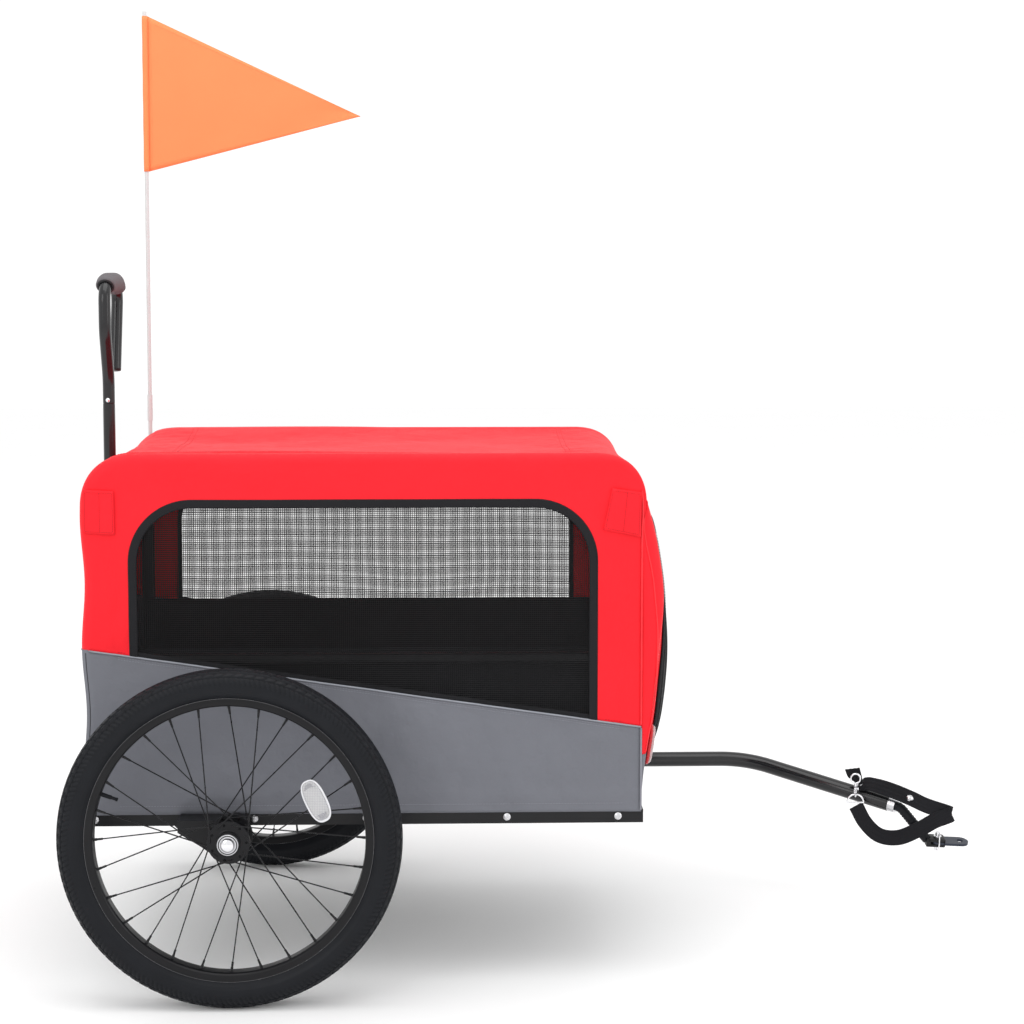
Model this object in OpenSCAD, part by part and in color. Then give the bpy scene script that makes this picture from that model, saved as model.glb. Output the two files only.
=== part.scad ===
// Two-wheeled fabric bicycle trailer with a push handle, a hitch arm and a safety flag.
// Frame: +X is the direction of travel, +Y the left side, +Z up, origin on the ground under the
// middle of the whole trailer.

/* [Overall] */
// Length from the rear of the tyres to the tip of the hitch plate
overall_len = 1435; // [1380:1:1500]
// Distance between the middle planes of the two wheels
track = 700; // [690:1:740]

/* [Wheels] */
// Outer diameter of the tyre
tyre_d = 500; // [490:1:510]
// Width of the tyre
tyre_w = 46; // [42:1:50]
// Inner radius of the rim, where the nipples sit
rim_inner_r = 196; // [192:0.5:198]
// Radius of the rim's edge
rim_edge_r = 209; // [207:0.5:211]
// Width of the rim
rim_w = 26; // [24:1:28]
// Number of spokes
spoke_count = 28; // [20:4:36]
// Diameter of a spoke
spoke_d = 2; // [1.8:0.1:2.4]
// Radius of the hub's flanges
flange_r = 31; // [29:0.5:33]
// Diameter of the quick-release axle
axle_d = 12; // [11:0.5:13]
// Diameter of the release button in the axle's cap
button_d = 20; // [18:0.5:22]

/* [Cabin frame] */
// Length of the base frame
base_len = 827; // [800:1:850]
// Width of the base frame
base_w = 504; // [500:1:508]
// How far the base frame reaches behind the axle
base_behind = 218; // [205:1:225]
// Side of the square tube
rail_size = 20; // [18:1:22]
// Height of the underside of the base frame
rail_z = 242; // [236:1:246]
// Wall of every steel tube
tube_wall = 1.5; // [1:0.1:2]
// Radius of the side hoops' tube
hoop_r = 10; // [9:0.5:10.5]
// Height of the centre line of the mid rails
mid_rail_z = 492; // [480:1:500]

/* [Cover] */
// Height of the cabin's top edge
cabin_top = 800; // [790:1:806]
// Radius of the cabin's upper corners
corner_r = 80; // [70:1:85]
// Thickness of the fabric panels
cloth_t = 2.5; // [2:0.1:3]
// Height of the colour seam at the rear
seam_rear_z = 507; // [500:1:515]
// Height of the colour seam at the front
seam_front_z = 388; // [380:1:395]
// Width of the side windows
window_w = 685; // [660:1:700]
// Height of the side windows' top edge
window_top = 727; // [715:1:732]
// Radius of the side windows' upper corners
window_r = 88; // [60:1:95]
// How far the front wall bulges ahead of the hoops
front_bulge = 40; // [35:1:44]
// Width of the mesh front door
door_w = 396; // [380:1:410]

/* [Handle] */
// Radius of the handle's tube
handle_r = 9.5; // [9:0.1:10]
// Height of the joint between the lower post and the handle
joint_z = 858; // [850:1:866]
// Radius of the foam grip
grip_r = 15.5; // [14:0.5:17]

/* [Hitch] */
// Radius of the hitch arm's tube
arm_r = 12.7; // [12:0.1:13]
// Radius of the hole for the bicycle's axle bolt
bolt_hole_r = 5.25; // [5:0.05:5.5]
// Width of the hitch plate
plate_w = 28; // [26:0.5:30]
// Thickness of the hitch plate
plate_t = 4; // [3:0.5:4]

/* [Flag] */
// Height of the flag pole's top
flag_top = 1507; // [1450:1:1550]
// Radius of the flag pole
pole_r = 3.5; // [3:0.1:4]
// Height of the pennant along the pole
pennant_h = 262; // [250:1:280]
// Reach of the pennant
pennant_len = 366; // [350:1:380]

/* [Hidden] */

$fn = 64;
eps = 0.5;

// Main places along X
axle_x = tyre_d / 2 - overall_len / 2;
axle_z = tyre_d / 2;
rear_x = axle_x - base_behind;
front_x = rear_x + base_len;
cover_rear = rear_x + 5;
cover_front = front_x - 3;

// Frame
rail_top = rail_z + rail_size;
rail_y = base_w / 2;
hoop_inset = 13;
hoop_y = 240.5;
hoop_rear = cover_rear + hoop_inset;
hoop_front = cover_front - hoop_inset;
hoop_top = cabin_top - hoop_inset;
hoop_bend = corner_r - hoop_inset;
mid_rail_r = 8.5;
cross_tube_r = 8;
cross_tube_z = 700;
vent_r = 4;
screw_r = 2.5;
screw_head_r = 5.5;
screw_x = [7, 244, 411, 622, 789];

// Cover
cover_y = 251;
cover_out = cover_y + cloth_t;
cover_bottom = rail_top;
window_rear = cover_rear + 62;
window_front = window_rear + window_w;
seam_slope = (seam_front_z - seam_rear_z) / (cover_front - cover_rear);
window_t = 1;
liner_y = 228.5;
liner_t = 1.5;
liner_lap = 12;
front_top = 752;
front_mid_z = 525;
front_arc_r = 620;
door_top = 704;
door_bottom = 318;
door_lap = 14;
door_gap = 1;
door_t = 2;
apron_top = 309;
zip_z = 332;
lamp_z = 356;
spoke_lamp_r = 138.5;
spoke_lamp_turn = 25;

// Handle, in the post's own place
post_x = rear_x - 5;
post_foot = rail_top + 4;
bore_fit = 0.05;
spigot_r = handle_r - tube_wall - bore_fit;
spigot_len = 26;
bend_r = 80;
bend_angle = 20;
bend_run = 52;
loop_r = 30;
loop_top = 1050;
loop_width = 62;
loop_fall = 105;
arm_drop = 107;
snap_r = 3.4;
snap_z = joint_z + 6;
snap_out = 2;
side_shift = 2 * bend_r * (1 - cos(bend_angle)) + bend_run * sin(bend_angle);
bend_start = joint_z + 27;
bend_end = bend_start + 2 * bend_r * sin(bend_angle) + bend_run * cos(bend_angle);
loop_left = loop_r - side_shift;
grip_gap = 0.05;
grip_start = 36;
grip_end = 50;
open_dir = [cos(90 - loop_fall + 270), sin(90 - loop_fall + 270)];
loop_end = round_to([loop_left + loop_width, loop_top - loop_r], loop_r, 90, 90 - loop_fall, 8);
handle_line = concat(
    round_to([-bend_r, bend_start], bend_r, 0, bend_angle, 4),
    round_to([bend_r - side_shift, bend_end], bend_r, 180 + bend_angle, 180, 4),
    round_to([loop_left, loop_top - loop_r], loop_r, 180, 90, 7),
    loop_end,
    [loop_end[8] + arm_drop * open_dir]);

// Hitch arm: hand-set points of its centre line, from the axle
arm_y = 230;
arm_z = 218;
arm_pivot = [axle_x + 572, arm_y, arm_z];
arm_bend = [axle_x + 835, arm_y, arm_z];
arm_tip = [axle_x + 1057, 86, 175];
pin_at = [axle_x + 1133, 62, 118];
plate_pitch = 3;
plate_roll = 9;
plate_len = overall_len / 2 - pin_at[0] - plate_w / 2 + 0.1;
arm_bolt_r = 5;
arm_stub = 12;
neck_r = 8;
fork_h = 13;
fork_w = 24;
fork_back = 8;
pin_r = 4;
ring_r = 16;
wire_r = 1.1;
arm_dir = unit(arm_tip - arm_bend);

// Safety strap: hand-set points of its centre line, from the axle, and the way its width points
strap_w = 26;
strap_t = 2;
strap_path = [[996, 97, 233], [1002, 103, 218], [1011, 109, 204], [1029, 97, 206],
              [1057, 76, 201], [1086, 58, 192], [1112, 50, 181], [1146, 46, 170],
              [1148, 42, 167], [1124, 44, 157], [1099, 52, 140], [1068, 62, 124],
              [1038, 72, 125], [1016, 82, 144], [1001, 88, 172]];
strap_width = [[1, -0.3, 0], [0.9, -0.4, -0.2], [0.4, -0.8, -0.3], [0.3, -0.8, -0.5],
               [0.2, -0.6, -0.8], [0.2, -0.5, -0.9], [0.3, -0.4, -0.9], [0.2, -0.3, -1],
               [0.2, -0.2, -1], [0.5, -0.2, -0.9], [0.5, -0.2, -0.9], [0.3, -0.3, -0.9],
               [-0.5, -0.3, -0.8], [-0.9, -0.2, -0.4], [-1, -0.1, -0.2]];
ring_at = [axle_x + 1000, 88, 177];
ring_bend_r = 14;
ring_wire_r = 1.4;
hook_at = [axle_x + 1000, 88, 194];
hook_bend_r = 6;
hook_wire_r = 1.5;
shank_top = 16;
eye_r = 8;
gate_at = [-6.2, 8.5];
gate_r = 1.1;
gate_pin_r = 0.9;

// Flag
pole_x = axle_x - 197;
pole_y = 264;
pole_foot = 290;
socket_top = 420;
socket_r = 7;
pole_fit = 0.08;
pennant_t = 1.2;

// Wheels
hub_half = 29;
hub_bore_r = 14;
bearing_w = 8;
bearing_fit = 0.04;
cap_out = 38;
cap_r = 15.5;
rim_wall = 2.5;
flange_y = 20;
flange_t = 3;
flange_holes_r = 26;
spoke_cross = 77;
receiver_out = 62;

function unit(v) = v / norm(v);
function round_to(middle, r, from, to, steps) =
    [for (i = [0 : steps]) let (a = from + (to - from) * i / steps)
        middle + r * [cos(a), sin(a)]];
function seam_z(x) = seam_rear_z + seam_slope * (x - cover_rear);
function from_axle(p) = [p[0] + axle_x, p[1], p[2]];
function front_at(z, grow) = cover_front + front_bulge - front_arc_r
    + sqrt(pow(front_arc_r + grow, 2) - pow(z - front_mid_z, 2));

// ---- shared shapes ----

// A round bar between two points
module bar(from, to, r) {
    step = to - from;
    length = norm(step);
    translate(from)
        rotate([0, acos(step[2] / length), atan2(step[1], step[0])])
            cylinder(r = r, h = length);
}

// Turns +Z to a direction at a point
module aimed(at, dir) {
    translate(at)
        rotate([0, acos(dir[2] / norm(dir)), atan2(dir[1], dir[0])])
            children();
}

// A round bend that starts at the origin going up and leans to -X
module bend(radius, angle, r) {
    translate([-radius, 0, 0])
        rotate([90, 0, 0])
            rotate_extrude(angle = angle)
                translate([radius, 0])
                    circle(r);
}

// A tube swept along a line of points in Y and Z, with its inner wall and its two end rings
module swept_tube(line, outer, inner, sides) {
    last = len(line) - 1;
    tangents = [for (i = [0 : last]) unit(line[min(i + 1, last)] - line[max(i - 1, 0)])];
    points = [for (r = [outer, inner], i = [0 : last], k = [0 : sides - 1])
        let (a = k * 360 / sides, t = tangents[i])
            [r * cos(a), line[i][0] - t[1] * r * sin(a), line[i][1] + t[0] * r * sin(a)]];
    skin = (last + 1) * sides;
    walls = [for (i = [0 : last - 1], k = [0 : sides - 1])
        let (a = i * sides + k, b = i * sides + (k + 1) % sides) [a, b, b + sides, a + sides]];
    bores = [for (f = walls) [for (j = [3 : -1 : 0]) f[j] + skin]];
    foot = [for (k = [0 : sides - 1])
        let (a = k, b = (k + 1) % sides) [a, a + skin, b + skin, b]];
    head = [for (f = foot) [for (j = [3 : -1 : 0]) f[j] + last * sides]];
    polyhedron(points, concat(walls, bores, foot, head));
}

// Extrudes an outline drawn in X and Z along +Y from y0
module along_y(y0, length) {
    translate([0, y0 + length, 0])
        rotate([90, 0, 0])
            linear_extrude(height = length)
                children();
}

// Side view of the cabin, moved in by inset
module cabin_outline(inset) {
    r = corner_r - inset;
    left = cover_rear + inset;
    right = cover_front - inset;
    top = cabin_top - inset;
    translate([left, cover_bottom])
        square([right - left, top - r - cover_bottom]);
    translate([left + r, top - r - 1])
        square([right - left - 2 * r, r + 1]);
    for (x = [left + r, right - r])
        translate([x, top - r])
            circle(r);
}

// Everything below the slanting colour seam
module below_seam(drop) {
    polygon([[rear_x - 50, seam_z(rear_x - 50) - drop],
             [front_x + 50, seam_z(front_x + 50) - drop],
             [front_x + 50, 0],
             [rear_x - 50, 0]]);
}

// Side window: two round upper corners and the colour seam as its lower edge
module window_outline() {
    difference() {
        union() {
            translate([window_rear, seam_front_z - 20])
                square([window_w, window_top - window_r - seam_front_z + 20]);
            translate([window_rear + window_r, window_top - window_r - 1])
                square([window_w - 2 * window_r, window_r + 1]);
            for (x = [window_rear + window_r, window_front - window_r])
                translate([x, window_top - window_r])
                    circle(window_r);
        }
        below_seam(-0.5);
    }
}

// Side view of the bulging front wall, moved out by grow
module front_outline(grow) {
    out = cover_front + front_bulge;
    back = cover_front - 30;
    intersection() {
        translate([out - front_arc_r, front_mid_z])
            circle(front_arc_r + grow, $fn = 360);
        translate([back, cover_bottom])
            square([out - back + 20, front_top - cover_bottom]);
    }
}

// ---- frame ----

module base_outer() {
    for (s = [-1, 1])
        translate([rear_x, s * (rail_y - rail_size / 2) - rail_size / 2, rail_z])
            cube([base_len, rail_size, rail_size]);
    for (x = [rear_x, axle_x - rail_size / 2, axle_x + 300, front_x - rail_size])
        translate([x, -rail_y + rail_size / 2, rail_z])
            cube([rail_size, base_w - rail_size, rail_size]);
}

module base_frame() color([0.05, 0.05, 0.055])
    difference() {
        base_outer();
        for (s = [-1, 1])
            translate([rear_x + tube_wall, s * (rail_y - rail_size / 2) - rail_size / 2 + tube_wall,
                       rail_z + tube_wall])
                cube([base_len - 2 * tube_wall, rail_size - 2 * tube_wall, rail_size - 2 * tube_wall]);
        for (x = [rear_x, axle_x - rail_size / 2, axle_x + 300, front_x - rail_size]) {
            translate([x + tube_wall, -rail_y + rail_size, rail_z + tube_wall])
                cube([rail_size - 2 * tube_wall, base_w - 2 * rail_size, rail_size - 2 * tube_wall]);
            translate([x + rail_size / 2, 0, rail_z - eps])
                cylinder(r = vent_r, h = tube_wall + 2 * eps);
        }
        for (s = [-1, 1], x = screw_x)
            translate([rear_x + x, s * (rail_y - tube_wall - eps), rail_z + rail_size / 2])
                rotate([-90 * s, 0, 0])
                    cylinder(r = screw_r, h = tube_wall + 2 * eps);
    }

module floor_panel() color([0.08, 0.08, 0.09])
    translate([rear_x + rail_size + 2, -227, rail_top])
        cube([base_len - 2 * rail_size - 4, 454, 3]);

module hoop_path(r, over) {
    for (x = [hoop_rear, hoop_front])
        translate([x, 0, rail_top - over])
            cylinder(r = r, h = hoop_top - hoop_bend - rail_top + over);
    translate([hoop_front, 0, hoop_top - hoop_bend])
        bend(hoop_bend, 90, r);
    translate([hoop_rear, 0, hoop_top - hoop_bend])
        mirror([1, 0, 0])
            bend(hoop_bend, 90, r);
    translate([hoop_rear + hoop_bend, 0, hoop_top])
        rotate([0, 90, 0])
            cylinder(r = r, h = hoop_front - hoop_rear - 2 * hoop_bend);
}

module side_hoop(s) color([0.05, 0.05, 0.055])
    translate([0, s * hoop_y, 0])
        difference() {
            union() {
                hoop_path(hoop_r, 0);
                translate([hoop_rear, 0, mid_rail_z])
                    rotate([0, 90, 0])
                        cylinder(r = mid_rail_r, h = hoop_front - hoop_rear);
            }
            hoop_path(hoop_r - tube_wall, eps);
            translate([hoop_rear, 0, mid_rail_z])
                rotate([0, 90, 0])
                    cylinder(r = mid_rail_r - tube_wall, h = hoop_front - hoop_rear);
        }

module cross_tubes() color([0.05, 0.05, 0.055])
    for (x = [hoop_rear, hoop_front])
        difference() {
            bar([x, -hoop_y, cross_tube_z], [x, hoop_y, cross_tube_z], cross_tube_r);
            bar([x, -hoop_y - 1, cross_tube_z], [x, hoop_y + 1, cross_tube_z],
                cross_tube_r - tube_wall);
            for (s = [-1, 1])
                translate([x, s * hoop_y, cross_tube_z - 20])
                    cylinder(r = hoop_r, h = 40);
        }

module rail_screws() color([0.8, 0.8, 0.82])
    for (s = [-1, 1], x = screw_x)
        translate([rear_x + x, s * rail_y, rail_z + rail_size / 2])
            rotate([-90 * s, 0, 0]) {
                difference() {
                    intersection() {
                        cylinder(r = screw_head_r, h = 3);
                        translate([0, 0, -5])
                            sphere(8);
                    }
                    for (turn = [0, 90])
                        rotate([0, 0, turn])
                            translate([-3, -0.6, 2])
                                cube([6, 1.2, 2]);
                }
                translate([0, 0, -7])
                    cylinder(r = screw_r, h = 7);
            }

// Side plate, folded top and receiver for the quick-release axle
module axle_bracket(s) color([0.05, 0.05, 0.055])
    translate([axle_x, 0, 0])
        mirror([0, s > 0 ? 0 : 1, 0])
            difference() {
                union() {
                    for (y = [rail_y, rail_y + 34])
                        along_y(y, 4)
                            polygon([[-84, rail_z], [-84, rail_z + 18], [19, rail_z + 18],
                                     [19, 222], [6, 205], [-24, 205]]);
                    translate([-84, rail_y, rail_z + 14])
                        cube([103, 38, 4]);
                    translate([0, rail_y, axle_z])
                        rotate([-90, 0, 0])
                            cylinder(r = 12, h = receiver_out);
                }
                translate([0, rail_y - 1, axle_z])
                    rotate([-90, 0, 0])
                        cylinder(r = axle_d / 2 + bearing_fit, h = receiver_out + 2);
            }

// Channel under the left rail that carries the hitch arm's pivot
module arm_bracket() color([0.05, 0.05, 0.055])
    translate([arm_pivot[0], arm_pivot[1], 0])
        difference() {
            union() {
                for (z = [rail_z - 4, arm_z - arm_r - 5])
                    translate([-22, -20, z])
                        cube([44, 44, 4]);
                translate([-22, 20, arm_z - arm_r - 5])
                    cube([44, 4, rail_z - arm_z + arm_r + 5]);
            }
            translate([0, 0, arm_z - arm_r - 10])
                cylinder(r = arm_bolt_r, h = 60);
        }

module arm_pivot_bolt() color([0.75, 0.75, 0.77])
    translate([arm_pivot[0], arm_pivot[1], 0]) {
        translate([0, 0, arm_z - arm_r - 5])
            cylinder(r = arm_bolt_r, h = rail_z - arm_z + arm_r + 5);
        translate([0, 0, arm_z - arm_r - 10])
            cylinder(r = 9, h = 5, $fn = 6);
    }

module flag_socket() color([0.06, 0.06, 0.065])
    difference() {
        union() {
            translate([pole_x, pole_y, pole_foot - 4])
                cylinder(r = socket_r, h = socket_top - pole_foot + 4);
            for (z = [pole_foot + 10, socket_top - 22])
                translate([pole_x - 9, cover_out, z])
                    cube([18, pole_y - cover_out, 12]);
        }
        translate([pole_x, pole_y, pole_foot])
            cylinder(r = pole_r + pole_fit, h = socket_top);
    }

// ---- handle ----

module handle_post() color([0.05, 0.05, 0.055])
    translate([post_x, 0, 0])
        difference() {
            union() {
                translate([0, 0, post_foot])
                    cylinder(r = handle_r, h = joint_z - post_foot);
                translate([0, 0, joint_z - 1])
                    cylinder(r = spigot_r, h = spigot_len + 1);
            }
            translate([0, 0, post_foot - eps])
                cylinder(r = spigot_r - tube_wall, h = joint_z + spigot_len);
            translate([0, 0, snap_z])
                rotate([90, 0, 0])
                    cylinder(r = snap_r + bore_fit, h = handle_r);
        }

// Foot plate on the rear rail and ring clamp on the rear cross tube
module post_clamp() color([0.07, 0.07, 0.075]) {
    difference() {
        translate([post_x - 14, -22, rail_top])
            cube([rear_x + rail_size - post_x + 14, 44, 4]);
        for (y = [-15, 15])
            translate([rear_x + rail_size / 2, y, rail_top - 1])
                cylinder(r = 2, h = 6);
    }
    difference() {
        union() {
            translate([post_x, 0, cross_tube_z - 12])
                cylinder(r = handle_r + 4, h = 24);
            translate([post_x, -10, cross_tube_z - 12])
                cube([hoop_rear - post_x, 20, 24]);
            bar([hoop_rear, -10, cross_tube_z], [hoop_rear, 10, cross_tube_z], cross_tube_r + 4);
        }
        translate([post_x, 0, cross_tube_z - 20])
            cylinder(r = handle_r, h = 40);
        bar([hoop_rear, -20, cross_tube_z], [hoop_rear, 20, cross_tube_z], cross_tube_r);
    }
}

module handle_button() color([0.75, 0.75, 0.77])
    translate([post_x, 0, snap_z])
        rotate([90, 0, 0]) {
            cylinder(r = snap_r, h = handle_r + snap_out - 1);
            translate([0, 0, handle_r + snap_out - 1 - snap_r])
                intersection() {
                    cylinder(r = snap_r, h = snap_r + 1);
                    sphere(snap_r + 1);
                }
        }

// Straight sleeve over the post's spigot, with a notch for the snap button, and the bent tube:
// two bends that carry it to one side, the upright, the loop and the open arm
module handle_tube() color([0.05, 0.05, 0.055])
    translate([post_x, 0, 0]) {
        difference() {
            translate([0, 0, joint_z])
                cylinder(r = handle_r, h = bend_start - joint_z);
            translate([0, 0, joint_z - 1])
                cylinder(r = handle_r - tube_wall, h = bend_start - joint_z + 2);
            translate([-snap_r - 0.5, -handle_r - 1, joint_z - 1])
                cube([2 * snap_r + 1, handle_r, snap_z + snap_r + 1.6 - joint_z]);
        }
        swept_tube(handle_line, handle_r, handle_r - tube_wall, 20);
    }

// The straight grip and the two bends of the loop that the foam covers
module loop_bar(r, start, end) {
    translate([0, loop_left, loop_top - loop_r])
        rotate([90, 0, -90])
            rotate([0, 0, 90 - start])
                rotate_extrude(angle = start)
                    translate([loop_r, 0])
                        circle(r);
    translate([0, loop_left, loop_top])
        rotate([-90, 0, 0])
            cylinder(r = r, h = loop_width);
    translate([0, loop_left + loop_width, loop_top - loop_r])
        rotate([90, 0, 90])
            rotate([0, 0, 90 - end])
                rotate_extrude(angle = end)
                    translate([loop_r, 0])
                        circle(r);
}

module foam_grip() color([0.45, 0.45, 0.46])
    translate([post_x, 0, 0])
        difference() {
            loop_bar(grip_r, grip_start, grip_end);
            loop_bar(handle_r + grip_gap, 90, 90);
        }

// ---- cover ----

module side_panel(s) color([0.85, 0.06, 0.09])
    along_y(s > 0 ? cover_y : -cover_out, cloth_t)
        difference() {
            cabin_outline(0);
            window_outline();
            below_seam(0);
        }

module side_skirt(s) color([0.33, 0.34, 0.38])
    along_y(s > 0 ? cover_y : -cover_out, cloth_t)
        intersection() {
            cabin_outline(0);
            below_seam(0);
        }

module window(s) color([0.12, 0.12, 0.13])
    along_y(s * (cover_y + cloth_t / 2) - window_t / 2, window_t)
        window_outline();

module roof_panel() color([0.87, 0.07, 0.1])
    along_y(-cover_y, 2 * cover_y)
        difference() {
            cabin_outline(0);
            cabin_outline(cloth_t);
            translate([rear_x - 50, 0])
                square([base_len + 100, cabin_top - corner_r]);
        }

module rear_panel() color([0.85, 0.06, 0.09])
    difference() {
        translate([cover_rear, -cover_y, cover_bottom])
            cube([cloth_t, 2 * cover_y, cabin_top - corner_r - cover_bottom]);
        translate([cover_rear - 1, -23, cover_bottom - 1])
            cube([cloth_t + 2, 46, 5.2]);
        translate([cover_rear - 1, -13, cross_tube_z - 15])
            cube([cloth_t + 2, 26, 30]);
    }

module front_surround() color([0.85, 0.06, 0.09]) {
    difference() {
        intersection() {
            along_y(1 - cover_y, 2 * cover_y - 2)
                front_outline(0);
            translate([cover_front, -cover_y, apron_top - 1])
                cube([front_bulge + 10, 2 * cover_y, cabin_top]);
        }
        along_y(1 - cover_y + cloth_t, 2 * cover_y - 2 - 2 * cloth_t)
            front_outline(-cloth_t);
        translate([cover_front - 10, -door_w / 2 + door_lap, door_bottom + door_lap])
            cube([front_bulge + 20, door_w - 2 * door_lap, door_top - door_bottom - 2 * door_lap]);
    }
    translate([cover_front, 1 - cover_y, cover_bottom])
        cube([cloth_t, 2 * cover_y - 2, apron_top - cover_bottom + 2]);
}

module front_door() color([0.1, 0.1, 0.11])
    intersection() {
        difference() {
            along_y(-door_w / 2, door_w)
                front_outline(door_gap + door_t);
            along_y(-door_w / 2 - 1, door_w + 2)
                front_outline(door_gap);
        }
        translate([cover_front - 10, -door_w, door_bottom])
            cube([front_bulge + 30, 2 * door_w, door_top - door_bottom]);
    }

module zip_slider() color([0.1, 0.1, 0.1])
    translate([front_at(zip_z, door_gap + door_t) - 1, door_w / 2 - 30, zip_z]) {
        translate([0, -4, -4])
            cube([5, 8, 8]);
        translate([3, -2, -22])
            cube([2, 4, 20]);
    }

module inner_liners() color([0.05, 0.05, 0.055])
    for (s = [-1, 1])
        translate([hoop_rear - 8, s * liner_y - liner_t / 2, rail_top + 3])
            cube([hoop_front - hoop_rear + 16, liner_t, mid_rail_z - rail_top + liner_lap]);

module corner_tabs() color([0.85, 0.06, 0.09])
    for (s = [-1, 1]) {
        translate([cover_rear + 2, s > 0 ? cover_out : -cover_out - 2, 681])
            cube([46, 2, 67]);
        translate([cover_front - 58, s > 0 ? cover_out : -cover_out - 2, 680])
            cube([56, 2, 64]);
    }

module oval_reflector(length, width, height) {
    for (t = [0, 1])
        translate([0, 0, t * height * 0.35])
            intersection() {
                cube([length - t * 4, width - t * 4, height * 2], center = true);
                cylinder(r = length / 2 - t * 2, h = height * 0.65);
            }
}

module front_reflectors() color([0.9, 0.55, 0.55])
    for (s = [-1, 1])
        translate([front_at(lamp_z, 0) + 0.05, s * 226, lamp_z])
            rotate([0, 90 + asin((front_mid_z - lamp_z) / front_arc_r), 0])
                oval_reflector(62, 34, 10);

module rear_reflectors() color([0.8, 0.02, 0.03])
    for (s = [-1, 1])
        translate([cover_rear, s * 196, 330])
            rotate([0, -90, 0])
                oval_reflector(62, 34, 10);

// ---- hitch ----

module arm_path(r, over) {
    bar(arm_pivot - [arm_stub + over, 0, 0], arm_bend, r);
    translate(arm_bend)
        sphere(r);
    bar(arm_bend, arm_tip + over * arm_dir, r);
}

module hitch_arm() color([0.05, 0.05, 0.055])
    difference() {
        arm_path(arm_r, 0);
        arm_path(arm_r - 2, 1);
        translate(arm_pivot - [0, 0, 20])
            cylinder(r = arm_bolt_r + bearing_fit, h = 40);
    }

module arm_collar() color([0.75, 0.75, 0.77])
    difference() {
        bar(arm_tip, arm_tip + 12 * arm_dir, arm_r - 0.7);
        bar(arm_tip + 2 * arm_dir, arm_tip + 13 * arm_dir, neck_r + 0.06);
    }

// Round neck that turns in the collar, and the fork for the hitch plate
module hitch_neck() color([0.06, 0.06, 0.065])
    difference() {
        union() {
            bar(arm_tip + 3 * arm_dir, arm_tip + 20 * arm_dir, neck_r);
            translate(arm_tip + 20 * arm_dir)
                sphere(neck_r + 0.7);
            bar(arm_tip + 20 * arm_dir, pin_at - [14, 0, -1], neck_r - 0.5);
            translate(pin_at)
                rotate([plate_roll, plate_pitch, 0])
                    translate([-fork_w / 2 - fork_back, -fork_w / 2, -fork_h / 2])
                        cube([fork_w + fork_back, fork_w, fork_h]);
        }
        translate(pin_at)
            rotate([plate_roll, plate_pitch, 0]) {
                translate([-fork_w / 2 - 0.5, -fork_w / 2 - 6, -plate_t / 2 - 0.3])
                    cube([fork_w * 2, fork_w + 12, plate_t + 0.6]);
                cylinder(r = pin_r + 0.06, h = fork_h * 2, center = true);
            }
    }

module hitch_plate() color([0.12, 0.12, 0.14])
    translate(pin_at)
        rotate([plate_roll, plate_pitch, 0])
            difference() {
                union() {
                    translate([0, 0, -plate_t / 2])
                        cylinder(r = fork_w / 2, h = plate_t);
                    translate([0, -fork_w / 2, -plate_t / 2])
                        cube([10, fork_w, plate_t]);
                    translate([10, -plate_w / 2, -plate_t / 2])
                        cube([plate_len - 10, plate_w, plate_t]);
                    translate([plate_len, 0, -plate_t / 2])
                        cylinder(r = plate_w / 2, h = plate_t);
                }
                cylinder(r = pin_r + 0.06, h = 20, center = true);
                translate([plate_len, 0, -10])
                    cylinder(r = bolt_hole_r, h = 20);
            }

module hitch_pin() color([0.75, 0.75, 0.77])
    translate(pin_at)
        rotate([plate_roll, plate_pitch, 0]) {
            translate([0, 0, -ring_r])
                cylinder(r = pin_r, h = 2 * ring_r);
            translate([0, 0, fork_h / 2 + 0.2])
                cylinder(r = 6.5, h = 2.5);
            rotate([0, 90, 0])
                rotate_extrude()
                    translate([ring_r, 0])
                        circle(wire_r, $fn = 16);
        }

// A flat ribbon: a box section carried along a path, with the way its width points at each step
module ribbon(path, widths, w, t) {
    last = len(path) - 1;
    tangents = [for (i = [0 : last]) unit(path[min(i + 1, last)] - path[max(i - 1, 0)])];
    across = [for (i = [0 : last])
        unit(widths[i] - (widths[i] * tangents[i]) * tangents[i])];
    normals = [for (i = [0 : last]) cross(tangents[i], across[i])];
    corners = [[-1, -1], [1, -1], [1, 1], [-1, 1]];
    points = [for (i = [0 : last], c = corners)
        path[i] + across[i] * c[0] * w / 2 + normals[i] * c[1] * t / 2];
    lower = [for (i = [0 : last - 1], k = [0 : 3])
        [4 * i + k, 4 * i + 4 + k, 4 * i + 4 + (k + 1) % 4]];
    upper = [for (i = [0 : last - 1], k = [0 : 3])
        [4 * i + k, 4 * i + 4 + (k + 1) % 4, 4 * i + (k + 1) % 4]];
    ends = [[0, 1, 2], [0, 2, 3], [4 * last + 2, 4 * last + 1, 4 * last],
            [4 * last + 3, 4 * last + 2, 4 * last]];
    polyhedron(points, concat(lower, upper, ends));
}

module safety_strap() color([0.07, 0.07, 0.08])
    ribbon([for (p = strap_path) from_axle(p)], strap_width, strap_w, strap_t);

module strap_rivets() color([0.8, 0.8, 0.82])
    for (p = [[1011, 109, 205], [1086, 58, 193]])
        aimed(from_axle(p), [0.15, -0.6, 0.8])
            intersection() {
                translate([0, 0, -3])
                    cylinder(r = 6, h = 6);
                translate([0, 0, -4.5])
                    sphere(7.9);
            }

module d_ring() color([0.8, 0.8, 0.82])
    translate(ring_at)
        rotate([90, 0, 0]) {
            rotate_extrude(angle = 180)
                translate([ring_bend_r, 0])
                    circle(ring_wire_r, $fn = 24);
            translate([-ring_bend_r, 0, 0])
                rotate([0, 90, 0])
                    cylinder(r = ring_wire_r, h = 2 * ring_bend_r);
        }

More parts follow.
